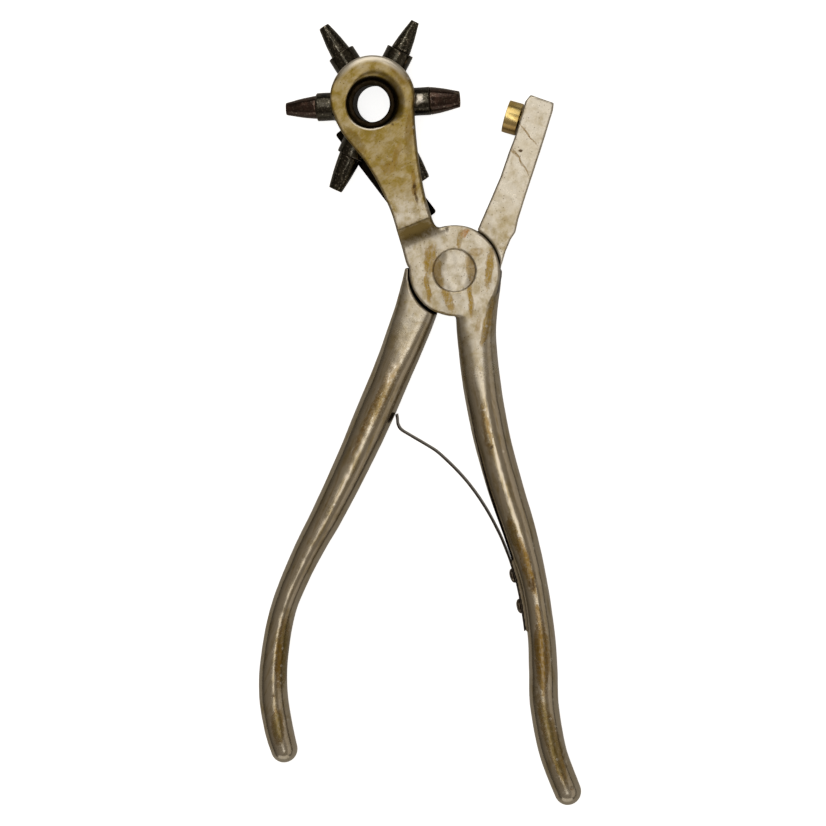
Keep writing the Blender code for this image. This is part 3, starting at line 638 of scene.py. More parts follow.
def plated_steel(name, tarnish, blots, handle_top, lean):
    """Old nickel plate: mottled tarnish, rust in given places, pits and scratches, edges partly worn
    and partly painted highlight, painted highlights on the ring's far rim and round the rust, and
    painted shade in the gap round the pivot disc.

    tarnish gives how far the head, the joint and the handle are tarnished, blots are the rust and
    tide marks with a painted shade on the bend and painted highlights on the handles' ends, the
    handle's own patina starts below handle_top and its streaks lean.
    """
    look = Finish(name)
    lower = look.ramp(look.y, handle_top, handle_top - 22.0)
    upper = look.less(1.0, lower)
    broad = look.noise(7.0, 4.0, 0.6, warp=0.5, seed=1)
    mottle = look.noise(2.6, 7.0, 0.62, warp=0.35, seed=2)
    ragged_y = look.add(look.y, look.both(look.less(mottle, 0.5), 14.0))
    head_part = look.ramp(ragged_y, 12.0, 27.0)
    strokes = look.noise(0.9, 5.0, 0.6, (0.7, 2.6, 1.0), math.radians(-52), seed=7)
    runs = look.noise(1.5, 5.0, 0.6, (0.8, 4.0, 1.0), math.radians(-8), warp=0.3, seed=10)
    streaks = look.noise(1.7, 6.0, 0.62, (0.6, 6.0, 1.0), math.radians(lean), warp=0.5, seed=8)
    grain = look.noise(0.45, 5.0, 0.7, seed=3)
    fray = look.noise(1.3, 6.0, 0.68, warp=0.6, seed=4)

    stain = look.add(look.both(broad, 0.9), look.both(mottle, 1.5))
    stain = look.add(stain, look.both(runs, 0.3))
    stain = look.less(stain, 1.35)
    level = look.ramp(head_part, 0.0, 1.0, tarnish[1], tarnish[0])
    stain = look.both(stain, look.ramp(head_part, 0.0, 1.0, 1.1, 0.8))
    flat_stain = look.maths("ADD", level, stain, clamp=True)
    long_stain = look.add(look.both(streaks, 0.75), look.both(broad, 0.35))
    handle_stain = look.ramp(long_stain, 0.66 - tarnish[2] * 0.3, 0.86 - tarnish[2] * 0.3)
    yellow = look.add(look.both(flat_stain, upper), look.both(handle_stain, look.both(lower, 0.5)))
    colour = look.mix(look.ramp(grain, 0.3, 0.7), NICKEL, tuple(0.91 * c for c in NICKEL))
    colour = look.mix(lower, colour, NICKEL_GREY)
    colour = look.mix(yellow, colour, TARNISH)
    deep = look.ramp(look.add(look.both(mottle, 0.6), look.both(broad, 0.4)), 0.46, 0.60)
    colour = look.mix(look.both(look.both(deep, yellow), 0.55), colour, OLIVE)
    patches = look.noise(1.8, 6.0, 0.62, (1.0, 1.5, 1.0), math.radians(-70), warp=0.5, seed=14)
    pale = look.add(look.both(patches, 0.75), look.both(strokes, 0.25))
    pale = look.both(look.ramp(pale, 0.36, 0.50, 0.5, 0.0), look.both(upper, yellow))
    colour = look.mix(pale, colour, CREAM)
    stroke_depth = look.ramp(head_part, 0.0, 1.0, 0.10, 0.5 * tarnish[0])
    dark_strokes = look.both(look.ramp(strokes, 0.50, 0.66), look.both(stroke_depth, upper))
    colour = look.mix(dark_strokes, colour, OLIVE)
    roughness = look.ramp(grain, 0.2, 0.8, 0.26, 0.32)
    roughness = look.less(roughness, look.both(lower, 0.09))
    roughness = look.add(roughness, look.both(yellow, 0.05))

    broken = look.ramp(look.noise(0.8, 5.0, 0.7, warp=0.8, seed=9), 0.36, 0.54, 0.5, 1.0)
    lines = look.either(runs, look.both(lower, streaks))
    broken = look.both(broken, look.ramp(lines, 0.36, 0.52, 0.5, 1.0))
    bare = None
    for shade, places in blots:
        mask = None
        soft = 0.4 if shade in CRISP_SHADES else 0.5
        for x, y, half_length, half_width, angle, strength in places:
            one = look.both(look.blot(x, y, half_length, half_width, angle, fray, soft), strength)
            mask = one if mask is None else look.either(mask, one)
        if shade in SMOOTH_SHADES:
            colour = look.mix(mask, colour, shade)
            continue
        colour = look.mix(look.both(mask, broken), colour, shade)
        bare = mask if bare is None else look.either(bare, mask)
    # painted highlight: bright nickel lines round the rust blots, on the lower handle
    rim = look.both(look.ramp(bare, 0.06, 0.20), look.ramp(bare, 0.26, 0.44, 1.0, 0.0))
    rim = look.both(rim, look.ramp(mottle, 0.50, 0.60))
    colour = look.mix(look.both(rim, look.both(lower, 0.6)), colour, NICKEL_HIGHLIGHT)
    margin = look.both(look.ramp(bare, 0.15, 0.4), look.ramp(bare, 0.5, 0.85, 1.0, 0.0))
    dark_margin = look.both(look.ramp(fray, 0.4, 0.6, 0.1, 0.8), look.ramp(lower, 0.0, 1.0, 0.7, 1.0))
    colour = look.mix(look.both(margin, dark_margin), colour, RUST_OCHRE)
    roughness = look.add(roughness, look.both(bare, 0.10))

    specks = look.ramp(look.cells(1.0), 0.09, 0.20, 1.0, 0.0)
    chosen = look.ramp(look.noise(4.0, 3.0, seed=5), 0.36, 0.54)
    pits = look.both(specks, look.both(chosen, look.less(1.0, look.both(lower, 0.6))))
    colour = look.mix(look.both(pits, 0.75), colour, RUST_BROWN)
    edge = look.node("ShaderNodeNewGeometry").outputs["Pointiness"]
    # convex edges made bright: partly worn bare plate, partly painted highlight
    colour = look.mix(look.ramp(edge, 0.53, 0.60, 0.0, 0.55), colour, NICKEL_HIGHLIGHT)
    colour = look.mix(look.ramp(edge, 0.40, 0.47, 0.7, 0.0), colour, RUST_BROWN)
    # painted highlight on the ring's far rim and on its hole's lower lip
    colour = look.mix(look.ring_highlight(), colour, NICKEL_HIGHLIGHT)
    # painted shade in the gap round the pivot disc
    colour = look.mix(look.joint_groove_shade(), colour, GROOVE_SHADE)

    scratches = look.noise(0.5, 4.0, 0.6, stretch=(0.35, 9.0, 1.0), turn=math.radians(lean), seed=6)
    height = look.add(look.both(broad, 0.8), look.both(mottle, look.both(upper, 0.10)))
    height = look.add(height, look.both(scratches, look.both(lower, 0.05)))
    height = look.add(height, look.both(strokes, look.both(head_part, 0.14)))
    height = look.add(height, look.both(streaks, look.both(lower, 0.30)))
    height = look.less(height, look.both(bare, look.both(fray, 0.5)))
    return look.close(colour, roughness, height, strength=0.4, depth=0.12)


BARE_SPECK = (0.50, 0.46, 0.37)


def blackened_steel(name, tint, worn_tint, streak, oil=0.35, spots=(), matt=0.0):
    """Blued steel under a film of old oil, brown on its worn places, with spots in given places,
    which on the hub include a painted highlight.
    """
    look = Finish(name)
    cloud = look.noise(2.2, 5.0, 0.6, warp=0.8, seed=11)
    grain = look.noise(0.5, 5.0, 0.7, seed=12)
    fray = look.noise(0.9, 4.0, 0.6, seed=13)
    colour = look.mix(look.ramp(cloud, 0.42, 0.66), tuple(0.5 * c for c in tint), tint)
    colour = look.mix(look.worn_edges(0.52, 0.62), colour, worn_tint)
    colour = look.mix(look.both(look.ramp(grain, 0.55, 0.64), streak), colour, BARE_SPECK)
    for x, y, half_length, half_width, angle, shade in spots:
        colour = look.mix(look.blot(x, y, half_length, half_width, angle, fray, 0.3), colour, shade)
    roughness = look.ramp(cloud, 0.3, 0.75, 0.13 + matt, 0.26 + matt)
    look.shader.inputs["Coat Weight"].default_value = oil
    look.shader.inputs["Coat Roughness"].default_value = 0.12
    look.shader.inputs["Coat IOR"].default_value = 1.5
    height = look.add(look.both(grain, 0.35), look.both(cloud, 0.9))
    return look.close(colour, roughness, height, strength=0.4, depth=0.07)


def turned_brass(name):
    """Brass turned on a lathe, about the anvil's own axis, with painted shade on its lower and upper
    sides.
    """
    look = Finish(name)
    cloud = look.noise(2.2, 4.0, 0.55, warp=0.4, seed=21)
    rings = look.noise(0.28, 3.0, 0.6, stretch=(0.3, 6.0, 6.0), turn=ANVIL_ANGLE, seed=22)
    fray = look.noise(1.0, 4.0, 0.6, seed=23)
    colour = look.mix(look.ramp(cloud, 0.35, 0.75), (0.93, 0.74, 0.33), (0.78, 0.56, 0.18))
    level = look.add(look.y, look.both(look.less(fray, 0.5), 3.0))
    # painted shade: darker brown towards the lower (-y) side of the cylinder
    brown = look.ramp(level, ANVIL_FACE[1] - 3.6, ANVIL_FACE[1] - 0.2, 0.7, 0.0)
    colour = look.mix(brown, colour, (0.36, 0.215, 0.08))
    # painted shade: a weaker darkening towards the upper side
    colour = look.mix(look.ramp(level, ANVIL_FACE[1] + 1.8, ANVIL_FACE[1] + 3.6, 0.0, 0.5), colour,
                      (0.50, 0.36, 0.12))
    colour = look.mix(look.both(look.worn_edges(0.53, 0.6), 0.5), colour, (0.90, 0.72, 0.34))
    pits = look.ramp(look.cells(1.1), 0.05, 0.14, 1.0, 0.0)
    pits = look.both(pits, look.ramp(cloud, 0.5, 0.6, 0.0, 0.7))
    colour = look.mix(pits, colour, (0.14, 0.08, 0.03))
    roughness = look.ramp(cloud, 0.3, 0.7, 0.20, 0.30)
    height = look.add(look.both(rings, 0.4), look.both(cloud, 0.2))
    return look.close(colour, roughness, height, strength=0.3, depth=0.05)


# rust and tide marks, a painted shade on the bend and painted highlights on the handles' ends: shade,
# then x, y, half length, half width, angle in degrees, strength
PUNCH_LEVER_BLOTS = [
    (GOLD, [
        (-7.0, 3.4, 3.9, 1.8, 85, 0.95), (-7.7, -4.7, 4.4, 0.8, 98, 0.9),
        (1.6, 9.2, 2.8, 0.7, 80, 0.9), (10.1, 0.8, 5.4, 1.0, 84, 0.9),
        (4.7, -8.5, 4.6, 0.7, 95, 0.9), (-1.8, -7.8, 3.6, 1.3, 107, 0.85),
        (6.3, 5.5, 2.4, 1.3, 10, 0.4), (-18.3, 29.8, 2.4, 1.5, 30, 0.7),
        (-11.6, 27.2, 2.1, 0.7, 100, 0.7), (-16.5, 33.5, 3.0, 0.8, 70, 0.6),
        (9.4, -15.4, 5.8, 1.0, 76, 0.85), (6.8, -15.6, 2.8, 0.8, 85, 0.3),
    ]),
    (OLIVE, [
        (-28.4, 37.2, 4.2, 1.5, -53, 0.75), (-15.4, 56.2, 4.0, 1.6, -50, 0.6),
        (-12.3, 42.0, 9.0, 1.4, 84, 0.5), (-3.0, -12.4, 4.6, 0.5, -12, 0.8),
        (17.0, -76.0, 5.0, 1.3, 107, 0.7), (28.4, -136.0, 12.0, 1.9, 107, 0.85),
        (9.4, -46.0, 9.0, 1.3, 100, 0.45),
    ]),
    # the bend's down-facing slope: brown tarnish tone with painted shade
    (BEND_SHADE_BROWN, [(-10.9, 11.6, 7.2, 2.4, 22, 1.0), (-10.9, 11.6, 7.2, 2.0, 22, 1.0)]),
    (RUST_ORANGE, [(3.0, 10.9, 1.2, 0.9, 70, 0.8)]),
    (RUST_OCHRE, [
        (20.9, -85.0, 8.0, 1.4, 107, 1.0), (25.4, -111.5, 9.5, 1.9, 93, 1.0),
        (24.4, -99.5, 4.0, 0.8, 98, 0.6), (-11.2, 23.6, 2.2, 0.9, 95, 0.9),
    ]),
    (RUST_BROWN, [
        (-11.3, 24.2, 1.0, 0.7, 60, 1.0), (-10.8, 21.3, 1.7, 0.4, 100, 0.9),
        (-17.5, 41.9, 0.4, 0.35, 30, 1.0), (10.7, -50.7, 0.6, 0.45, 60, 0.9),
        (22.5, -90.6, 1.8, 0.8, 107, 0.9), (34.1, -149.7, 0.7, 0.5, 60, 0.8),
    ]),
    # painted highlight: lighter nickel on the handle's rounded end
    (NICKEL, [(33.6, -152.6, 3.2, 4.0, 107, 0.6)]),
]
ANVIL_LEVER_BLOTS = [
    (OLIVE, [
        (-50.2, -111.4, 9.6, 1.6, 86, 0.9), (-51.7, -133.0, 5.2, 1.6, 95, 0.85),
        (-20.0, -36.0, 12.0, 1.2, 66, 0.35),
    ]),
    (TARNISH, [(21.2, 35.0, 3.6, 2.6, -56, 0.14), (14.5, 13.0, 5.0, 2.0, 64, 0.14)]),
    (RUST_OCHRE, [
        (-51.4, -114.0, 6.0, 0.9, 86, 0.95), (-24.6, -42.0, 14.0, 0.9, 66, 0.45),
        (21.0, 39.2, 4.2, 0.26, -51, 0.5), (19.1, 31.4, 4.6, 0.28, -59, 0.5),
        (17.0, 41.5, 1.2, 0.25, -20, 0.45), (17.0, 34.0, 2.2, 0.3, -50, 0.45),
    ]),
    (RUST_BROWN, [(19.1, 34.5, 0.5, 0.4, 0, 0.95), (-53.0, -124.0, 0.6, 0.4, 60, 0.8)]),
    # painted highlight: lighter nickel on the handle's rounded end
    (NICKEL, [(-50.2, -141.6, 2.8, 4.0, 105, 0.6)]),
]
RIVET_BLOTS = [(GOLD, [(-4.8, -0.4, 5.0, 1.3, 98, 0.65), (4.8, 0.4, 5.0, 1.3, 98, 0.65)])]

BLUE_BLACK = (0.052, 0.045, 0.028)
RED_BROWN = (0.085, 0.047, 0.034)
WORN_BROWN = (0.20, 0.15, 0.11)
nickel_punch = plated_steel("nickel_punch_lever", (0.86, 0.22, 0.50), PUNCH_LEVER_BLOTS,
                            -20.0, 14.0)
nickel_anvil = plated_steel("nickel_anvil_lever", (0.08, 0.24, 0.50), ANVIL_LEVER_BLOTS,
                            -8.0, -24.0)
nickel_rivet = plated_steel("nickel_rivet", (0.1, 0.05, 0.2), RIVET_BLOTS, -40.0, 0.0)
# the first, pale spot is a painted highlight on a boss; the second is a black spot
HUB_SPOT_AND_HIGHLIGHT = [(-10.3, 49.0, 1.7, 0.9, 84, (0.42, 0.39, 0.34)),
             (-38.0, 50.5, 0.9, 0.7, 10, (0.004, 0.004, 0.004))]
blued_hub = blackened_steel("blued_hub", BLUE_BLACK, WORN_BROWN, 0.4, spots=HUB_SPOT_AND_HIGHLIGHT)
blued_tube = blackened_steel("blued_tube", BLUE_BLACK, WORN_BROWN, 1.0)
browned_tube = blackened_steel("browned_tube", RED_BROWN, WORN_BROWN, 0.4)
blued_axle = blackened_steel("blued_axle", (0.044, 0.030, 0.016), (0.075, 0.05, 0.03), 0.05, 0.0,
                               matt=0.35)
# painted shade: the index leaf is near-black to stand for the shadow behind the neck
shade_black_leaf = blackened_steel("index_leaf_painted_shade", (0.004, 0.003, 0.002), (0.012, 0.009, 0.006), 0.0,
                             0.0)
dark_spring = blackened_steel("spring_leaf", (0.050, 0.034, 0.021), (0.07, 0.05, 0.033), 0.2)
dark_rivet = blackened_steel("spring_rivet", (0.16, 0.12, 0.085), WORN_BROWN, 0.7)
brass = turned_brass("turned_brass")


def dress(item, material, body, slot, *nodes):
    """Gives a piece its material and body, and hides the CAD nodes that it stands for. The slot is
    not used.
    """
    item.data.materials.clear()
    item.data.materials.append(material)
    if body is not None:
        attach(item, body)
    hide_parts(*nodes)
    return item


# ---- levers ----------------------------------------------------------------------------------
def ring_arc():
    """Points round the ring from the neck's right side, over the top, to its left side."""
    start = math.atan2(NECK_RIGHT[-1][1] - RING_CENTRE[1], NECK_RIGHT[-1][0] - RING_CENTRE[0])
    stop = math.atan2(NECK_LEFT[0][1] - RING_CENTRE[1], NECK_LEFT[0][0] - RING_CENTRE[0])
    stop += math.tau
    count = 60
    return [tuple(Vector(RING_CENTRE) + along(start + (stop - start) * i / count, RING_R))
            for i in range(1, count)]


def index_sides(x, y):
    """How far a point in plan is past the index spring's nearer end, and past its nearer side."""
    run = along(INDEX_ANGLE, 1.0)
    half = INDEX_LENGTH / 2
    u = (x - INDEX_END[0]) * run.x + (y - INDEX_END[1]) * run.y - half
    v = (y - INDEX_END[1]) * run.x - (x - INDEX_END[0]) * run.y
    return np.abs(u) - half, np.abs(v) - INDEX_HALF_WIDTH


def neck_front(x, y):
    """Height of the neck's front face, which slopes down to the pivot disc at the bend."""
    down = along(BEND_ANGLE - math.pi / 2, 1.0)
    t = (x - BEND_POINT[0]) * down.x + (y - BEND_POINT[1]) * down.y
    drop = CHEEK_FRONT - LEVER_FRONT
    slope = CHEEK_FRONT - t * drop / BEND_LENGTH
    upper = soft_min(slope, np.full_like(slope, CHEEK_FRONT), 0.35)
    return soft_max(upper, np.full_like(slope, LEVER_FRONT), 3.0)


def spring_pad(px, py, z):
    """The raised seat that the riveted end of the leaf lies on."""
    beside = Vector((0.97, 0.24)) * (SPRING_T / 2 + PAD_GAP + PAD_HALF_T)
    seat = [(x + beside.x, y + beside.y) for x, y in SPRING_PATH[-4:]]
    away, _ = chain_distance(px, py, seat)
    return np.maximum(away[:, :, None] - PAD_HALF_T, np.abs(z - MID_Z) - SPRING_HALF_WIDTH)


def punch_lever_field(x, y, z):
    px, py = x[:, :, 0], y[:, :, 0]
    left = smooth_path(NECK_LEFT, 4)
    right = smooth_path(NECK_RIGHT, 4)
    arc = ring_arc()
    plan = outline_distance(px, py, right + arc + left)
    front = neck_front(px, py)
    far_end = step_between(py, RING_CENTRE[1] + 2.0, RING_CENTRE[1] + 9.0)
    crown = np.clip(plan + CROWN_WIDTH, 0, CROWN_WIDTH + 0.5) ** 2 / (2 * CROWN_R)
    plan, front, crown = (item[:, :, None] for item in (plan, front, crown * far_end))

    shape = plate(plan, z, 0.0, front - crown, 0.5, RIM_ROUND)
    shape = cut(shape, drum(x, y, z, TURRET, WELL_R, -9.0, CHEEK_REAR), 0.5)
    relief = outline_distance(px, py, NECK_RELIEF)[:, :, None]
    shape = cut(shape, np.maximum(relief, z - CHEEK_REAR), 0.3)
    shape = join(shape, handle(x, y, z, PUNCH_HANDLE), 1.2)
    shape = join(shape, spring_pad(px, py, z), 0.4)
    floor = MID_Z + LAP_GAP / 2
    shape = cut(shape, drum(x, y, z, (0, 0), REAR_DISC_R + GAP, -9.0, floor), 0.4)
    shape = join(shape, drum(x, y, z, (0, 0), DISC_R, floor, LEVER_FRONT, 0.3, 0.25), 0.9)
    shape = np.maximum(shape, np.maximum(z - front, -z))
    seat = LEVER_FRONT - PIVOT_HEAD_T - GAP
    shape = cut(shape, drum(x, y, z, (0, 0), PIVOT_SHANK_R + RUN_GAP, -9.0, 30.0), 0.3)
    shape = cut(shape, drum(x, y, z, (0, 0), RIVET_R - RIVET_GRIP, seat, 30.0), 0.08)
    shape = cut(shape, drum(x, y, z, TURRET, AXLE_R + RUN_GAP, -9.0, 30.0), 0.4)
    worn_side = step_between((x - TURRET[0] + (y - TURRET[1]) * 0.7) / COUNTERSINK_R, -0.5, 0.9)
    slope = worn_side * (COUNTERSINK_R - COUNTERSINK_FLOOR_R) / (CHEEK_FRONT - COUNTERSINK_FLOOR)
    reach = np.hypot(x - TURRET[0], y - TURRET[1])
    bowl = np.maximum(reach - COUNTERSINK_FLOOR_R - (z - COUNTERSINK_FLOOR) * slope,
                      COUNTERSINK_FLOOR - z)
    shape = cut(shape, bowl, 0.25 + 2.0 * worn_side)
    seat_plan = np.maximum(*index_sides(x, y)) - GAP
    return cut(shape, np.maximum(seat_plan, z - INDEX_Z[1] - GAP), 0.3)


def anvil_lever_field(x, y, z):
    px, py = x[:, :, 0], y[:, :, 0]
    front_plan = outline_distance(px, py, ARM_LEFT + ARM_RIGHT)[:, :, None]
    rear_plan = outline_distance(px, py, ARM_LEFT + [(x - ARM_DRAFT, y) for x, y in ARM_RIGHT])
    height = (z - ARM_REAR) / (ARM_FRONT - ARM_REAR)
    plan = front_plan * height + rear_plan[:, :, None] * (1 - height)
    shape = plate(plan, z, ARM_REAR, ARM_FRONT, 0.6, 0.18)
    beyond = (y - ARM_FACET[1]) - (x - ARM_FACET[0]) * ARM_FACET_SLANT
    shape = soft_max(shape, z - ARM_FRONT + beyond * ARM_FACET_FALL, 0.1)
    shape = join(shape, handle(x, y, z, ANVIL_HANDLE), 0.8)
    floor = MID_Z - LAP_GAP / 2
    shape = join(shape, drum(x, y, z, (0, 0), REAR_DISC_R, 0.0, floor, 0.9, 0.3), 0.9)
    shape = np.maximum(shape, -z)
    shape = cut(shape, drum(x, y, z, (0, 0), DISC_R + GAP, floor, 30.0), 0.2)
    relief_r = SHOULDER_RELIEF_R - SHOULDER_GRIME
    shape = cut(shape, drum(x, y, z, SHOULDER_RELIEF, relief_r, floor, 30.0), 0.2)
    shape = cut(shape, drum(x, y, z, (0, 0), PIVOT_SHANK_R + RUN_GAP, -9.0, 30.0), 0.3)
    shape = cut(shape, drum(x, y, z, (0, 0), RIVET_R + RUN_GAP, -9.0, PIVOT_HEAD_T + GAP), 0.35)
    ax, ay, az = x - ANVIL_FACE[0], y - ANVIL_FACE[1], z - MID_Z
    depth = ANVIL_T + SEAT_GAP
    shape = cut(shape, level_drum(ax, ay, az, ANVIL_ANGLE, ANVIL_R + SEAT_GAP, -depth, 9.0), 0.1)
    return cut(shape, level_drum(ax, ay, az, ANVIL_ANGLE, ANVIL_SHANK_R + GAP,
                                 -depth - ANVIL_SHANK_L, 9.0), 0.25)


LEVER_STEP = 0.32
MARGIN = 1.0
CROWN_WIDTH = 2.0
CROWN_R = 3.2
RIM_ROUND = 0.5
RIVET_GRIP = 0.06
ARM_FACET = (20.3, 48.6)
ARM_FACET_SLANT = 0.24
ARM_FACET_FALL = 0.30
# how much of the shoulder's relief old dirt has filled
SHOULDER_GRIME = 0.4
PAD_GAP = 0.1
PAD_HALF_T = 0.35


def carve_lever(name, node, field, material, seed):
    low, high = node_box(node)
    item = carve(name, [v - MARGIN for v in low], [v + MARGIN for v in high], LEVER_STEP, field)
    waver(item, 0.07, 7.0, seed)
    waver(item, 0.025, 2.2, seed + 1)
    return dress(item, material, node, "nickel_plate", node)


carve_lever("punch_lever_forging", "punch_lever", punch_lever_field, nickel_punch, 1)
carve_lever("anvil_lever_forging", "anvil_lever", anvil_lever_field, nickel_anvil, 5)


def pivot_rivet_field(x, y, z):
    """Both heads are ground nearly flush, which leaves a flat oval with sloping sides."""
    body = drum(x, y, z, (0, 0), PIVOT_SHANK_R, 0.5, LEVER_FRONT - 0.5, 0.2, 0.2)
    front = drum(x, y, z, (0, 0), RIVET_R, LEVER_FRONT - PIVOT_HEAD_T, LEVER_FRONT, 0.2, 0.12)
    rear = drum(x, y, z, (0, 0), RIVET_R, 0.0, PIVOT_HEAD_T, 0.35, 0.2)
    lean = math.radians(-9.0)
    across = x * math.cos(lean) + y * math.sin(lean)
    flat_half_width = 3.65 - (y / RIVET_R) ** 2 * 1.6
    fall = 0.14
    slopes = z - LEVER_FRONT + (np.abs(across) - flat_half_width) * fall
    front = soft_max(front, slopes, 0.12)
    return join(join(front, body, 0.2), rear, 0.2)


rivet = carve("pivot_rivet_ground", (-7, -7, -0.6), (7, 7, 11.6), 0.14, pivot_rivet_field)
waver(rivet, 0.05, 2.4, 9)
dress(rivet, nickel_rivet, "punch_lever", "nickel_plate", "pivot_rivet")


# ---- turret ------------------------------------------------------------------------------------
def hub_field(x, y, z):
    """The hub in the frame of its own axis, with six bosses, their sockets and the detents."""
    shape = drum(x, y, z, (0, 0), HUB_R, -HUB_HALF_DEPTH, HUB_HALF_DEPTH, 0.7, 0.7)
    for step, boss_end, *_ in TUBES.values():
        shape = join(shape, level_drum(x, y, z, step * TUBE_STEP, BOSS_R, 8.5, boss_end, 0.12), 0.9)
    shape = cut(shape, drum(x, y, z, (0, 0), AXLE_R + RUN_GAP, -9.0, 9.0), 0.3)
    for index, (step, *_) in enumerate(TUBES.values()):
        angle = step * TUBE_STEP
        shape = cut(shape, level_drum(x, y, z, angle, SLUG_CHANNEL_R, 3.0, 10.0), 0.2)
        shape = cut(shape, level_drum(x, y, z, angle, TUBE_SHANK_R + GAP,
                                      TUBE_SHANK_START - GAP, 20.0), 0.2)
        spot = along((index + 0.5) * TUBE_STEP, DETENT_RADIUS)
        dimple = np.sqrt((x - spot.x) ** 2 + (y - spot.y) ** 2
                         + (z + HUB_HALF_DEPTH + 1.0) ** 2) - 1.75
        shape = cut(shape, dimple, 0.2)
    return shape


turret_frame = (Matrix.Translation((TURRET[0], TURRET[1], MID_Z))
                @ Matrix.Rotation(TURRET_PHASE, 4, "Z"))
hub = carve("turret_hub_turned", (-18.5, -18.5, -5), (18.5, 18.5, 5), 0.25, hub_field, turret_frame)
waver(hub, 0.05, 3.0, 13)
dress(hub, blued_hub, "turret", "blued_steel", "turret_hub")

TUBE_RINGS = 14
BROWNED_TUBES = ("punch_tube_3", "punch_tube_6")
LEVEL = Matrix.Rotation(math.pi / 2, 4, "Y")


def tube_profile(boss_end, reach, tip_r, base_r):
    """A hollow cutter: shank, shoulder, long swelling cone, then the sharpened edge."""
    collar = boss_end + SEAT_GAP
    bore = tip_r - TUBE_WALL_AT_TIP
    outside = [(base_r - 0.08, collar), (base_r, collar + 0.08)]
    for i in range(1, TUBE_RINGS):
        t = i / TUBE_RINGS
        swell = 0.14 * math.sin(math.pi * t)
        outside.append((base_r + (tip_r + 0.14 - base_r) * t + swell,
                        collar + 0.08 + (reach - 0.93 - collar) * t))
    edge = [(tip_r + 0.14, reach - 0.75), (tip_r - 0.02, reach - 0.12), (tip_r - 0.1, reach),
            (bore + 0.05, reach), (bore, reach - 0.15)]
    shank = [(bore, TUBE_SHANK_START), (TUBE_SHANK_R - 0.2, TUBE_SHANK_START),
             (TUBE_SHANK_R, TUBE_SHANK_START + 0.2), (TUBE_SHANK_R, collar)]
    return shank + outside + edge


for tube_number, (node, (step, *sizes)) in enumerate(TUBES.items()):
    facing = turret_frame @ Matrix.Rotation(step * TUBE_STEP, 4, "Z") @ LEVEL
    tube = lathe(f"{node}_turned", tube_profile(*sizes), 72, facing)
    waver(tube, 0.035, 2.2, 20 + tube_number)
    material = browned_tube if node in BROWNED_TUBES else blued_tube
    dress(tube, material, "turret", "blued_steel", node)


def axle_field(x, y, z):
    """A hollow rivet: a sleeve with a rolled rim at each end and a window to the working tube."""
    reach = np.hypot(x, y)
    low, high = AXLE_LOW[2], AXLE_HIGH[2]
    middle = (AXLE_BORE_R + AXLE_R) / 2
    sleeve = np.maximum(np.abs(reach - middle) - (AXLE_R - AXLE_BORE_R) / 2,
                        np.maximum(low + 0.5 - z, z - high + 0.5))
    front_mid = (AXLE_BORE_R + 6.75) / 2
    front = np.hypot((reach - front_mid) / 0.69, (z - high + 0.42) / 0.42) - 1
    rear_mid = (AXLE_BORE_R + 6.9) / 2
    rear = np.hypot((reach - rear_mid) / 0.76, (z - low - 0.38) / 0.38) - 1
    shape = join(sleeve, front * 0.5, 0.35)
    shape = join(shape, rear * 0.5, 0.35)
    run = along(TURRET_PHASE, 1.0)
    half = AXLE_WINDOW / 2
    across = y * run.x - x * run.y
    window = np.maximum(np.maximum(np.abs(across), np.abs(z - MID_Z)) - half,
                        -(x * run.x + y * run.y))
    return cut(shape, window, 0.2)


axle = carve("axle_sleeve_rolled", (-7.5, -7.5, -0.3), (7.5, 7.5, 12.9), 0.13, axle_field,
             Matrix.Translation((TURRET[0], TURRET[1], 0)))
waver(axle, 0.03, 1.8, 31)
dress(axle, blued_axle, "punch_lever", "blued_steel", "axle_sleeve")


def washer(node, seed):
    low, high = node_box(node)
    outer = (high[0] - low[0]) / 2
    inner = AXLE_R + RUN_GAP
    ring = [(inner, low[2]), (outer, low[2]), (outer, high[2]), (inner, high[2])]
    item = lathe(f"{node}_turned", softened(ring, 0.12, 3, closed=True), 96,
                 Matrix.Translation((TURRET[0], TURRET[1], 0)))
    waver(item, 0.02, 2.0, seed)
    return dress(item, dark_spring, "punch_lever", "spring_steel", node)


washer("axle_washer", 33)
washer("turret_washer", 35)


# ---- springs and their rivets --------------------------------------------------------------------
def index_field(x, y, z):
    middle = (INDEX_Z[0] + INDEX_Z[1]) / 2
    thick = (INDEX_Z[1] - INDEX_Z[0]) / 2
    corner = 0.8
    plan = rounded(*index_sides(x, y), corner)
    relief = np.hypot(x - TURRET[0], y - TURRET[1]) - INDEX_RELIEF_R
    plan = soft_max(plan, -relief, 0.5)
    shape = plate(plan, z, middle - thick, middle + thick, 0.12, 0.12)
    spot = Vector(TURRET) + along(TURRET_PHASE + 3.5 * TUBE_STEP, DETENT_RADIUS)
    bump = np.sqrt((x - spot.x) ** 2 + (y - spot.y) ** 2 + (z - 0.12) ** 2) - 1.2
    return join(shape, np.maximum(bump, middle - z), 0.3)


low, high = node_box("index_spring")
index_spring = carve("index_spring_leaf", [v - 0.6 for v in low], [v + 0.6 for v in high], 0.13,
                     index_field)
waver(index_spring, 0.02, 4.0, 41)
dress(index_spring, shade_black_leaf, "punch_lever", "spring_steel", "index_spring")


def dome(radius, base, height, steps=8):
    """Points over a domed head, from its rim's foot to its crown."""
    points = [(radius * 0.97, base), (radius, base + height * 0.12)]
    for i in range(1, steps):
        turn = i / steps * math.pi / 2
        rise = 0.12 + 0.88 * math.sin(turn)
        points.append((radius * math.cos(turn) ** 0.8, base + height * rise))
    return points + [(0.0, base + height)]


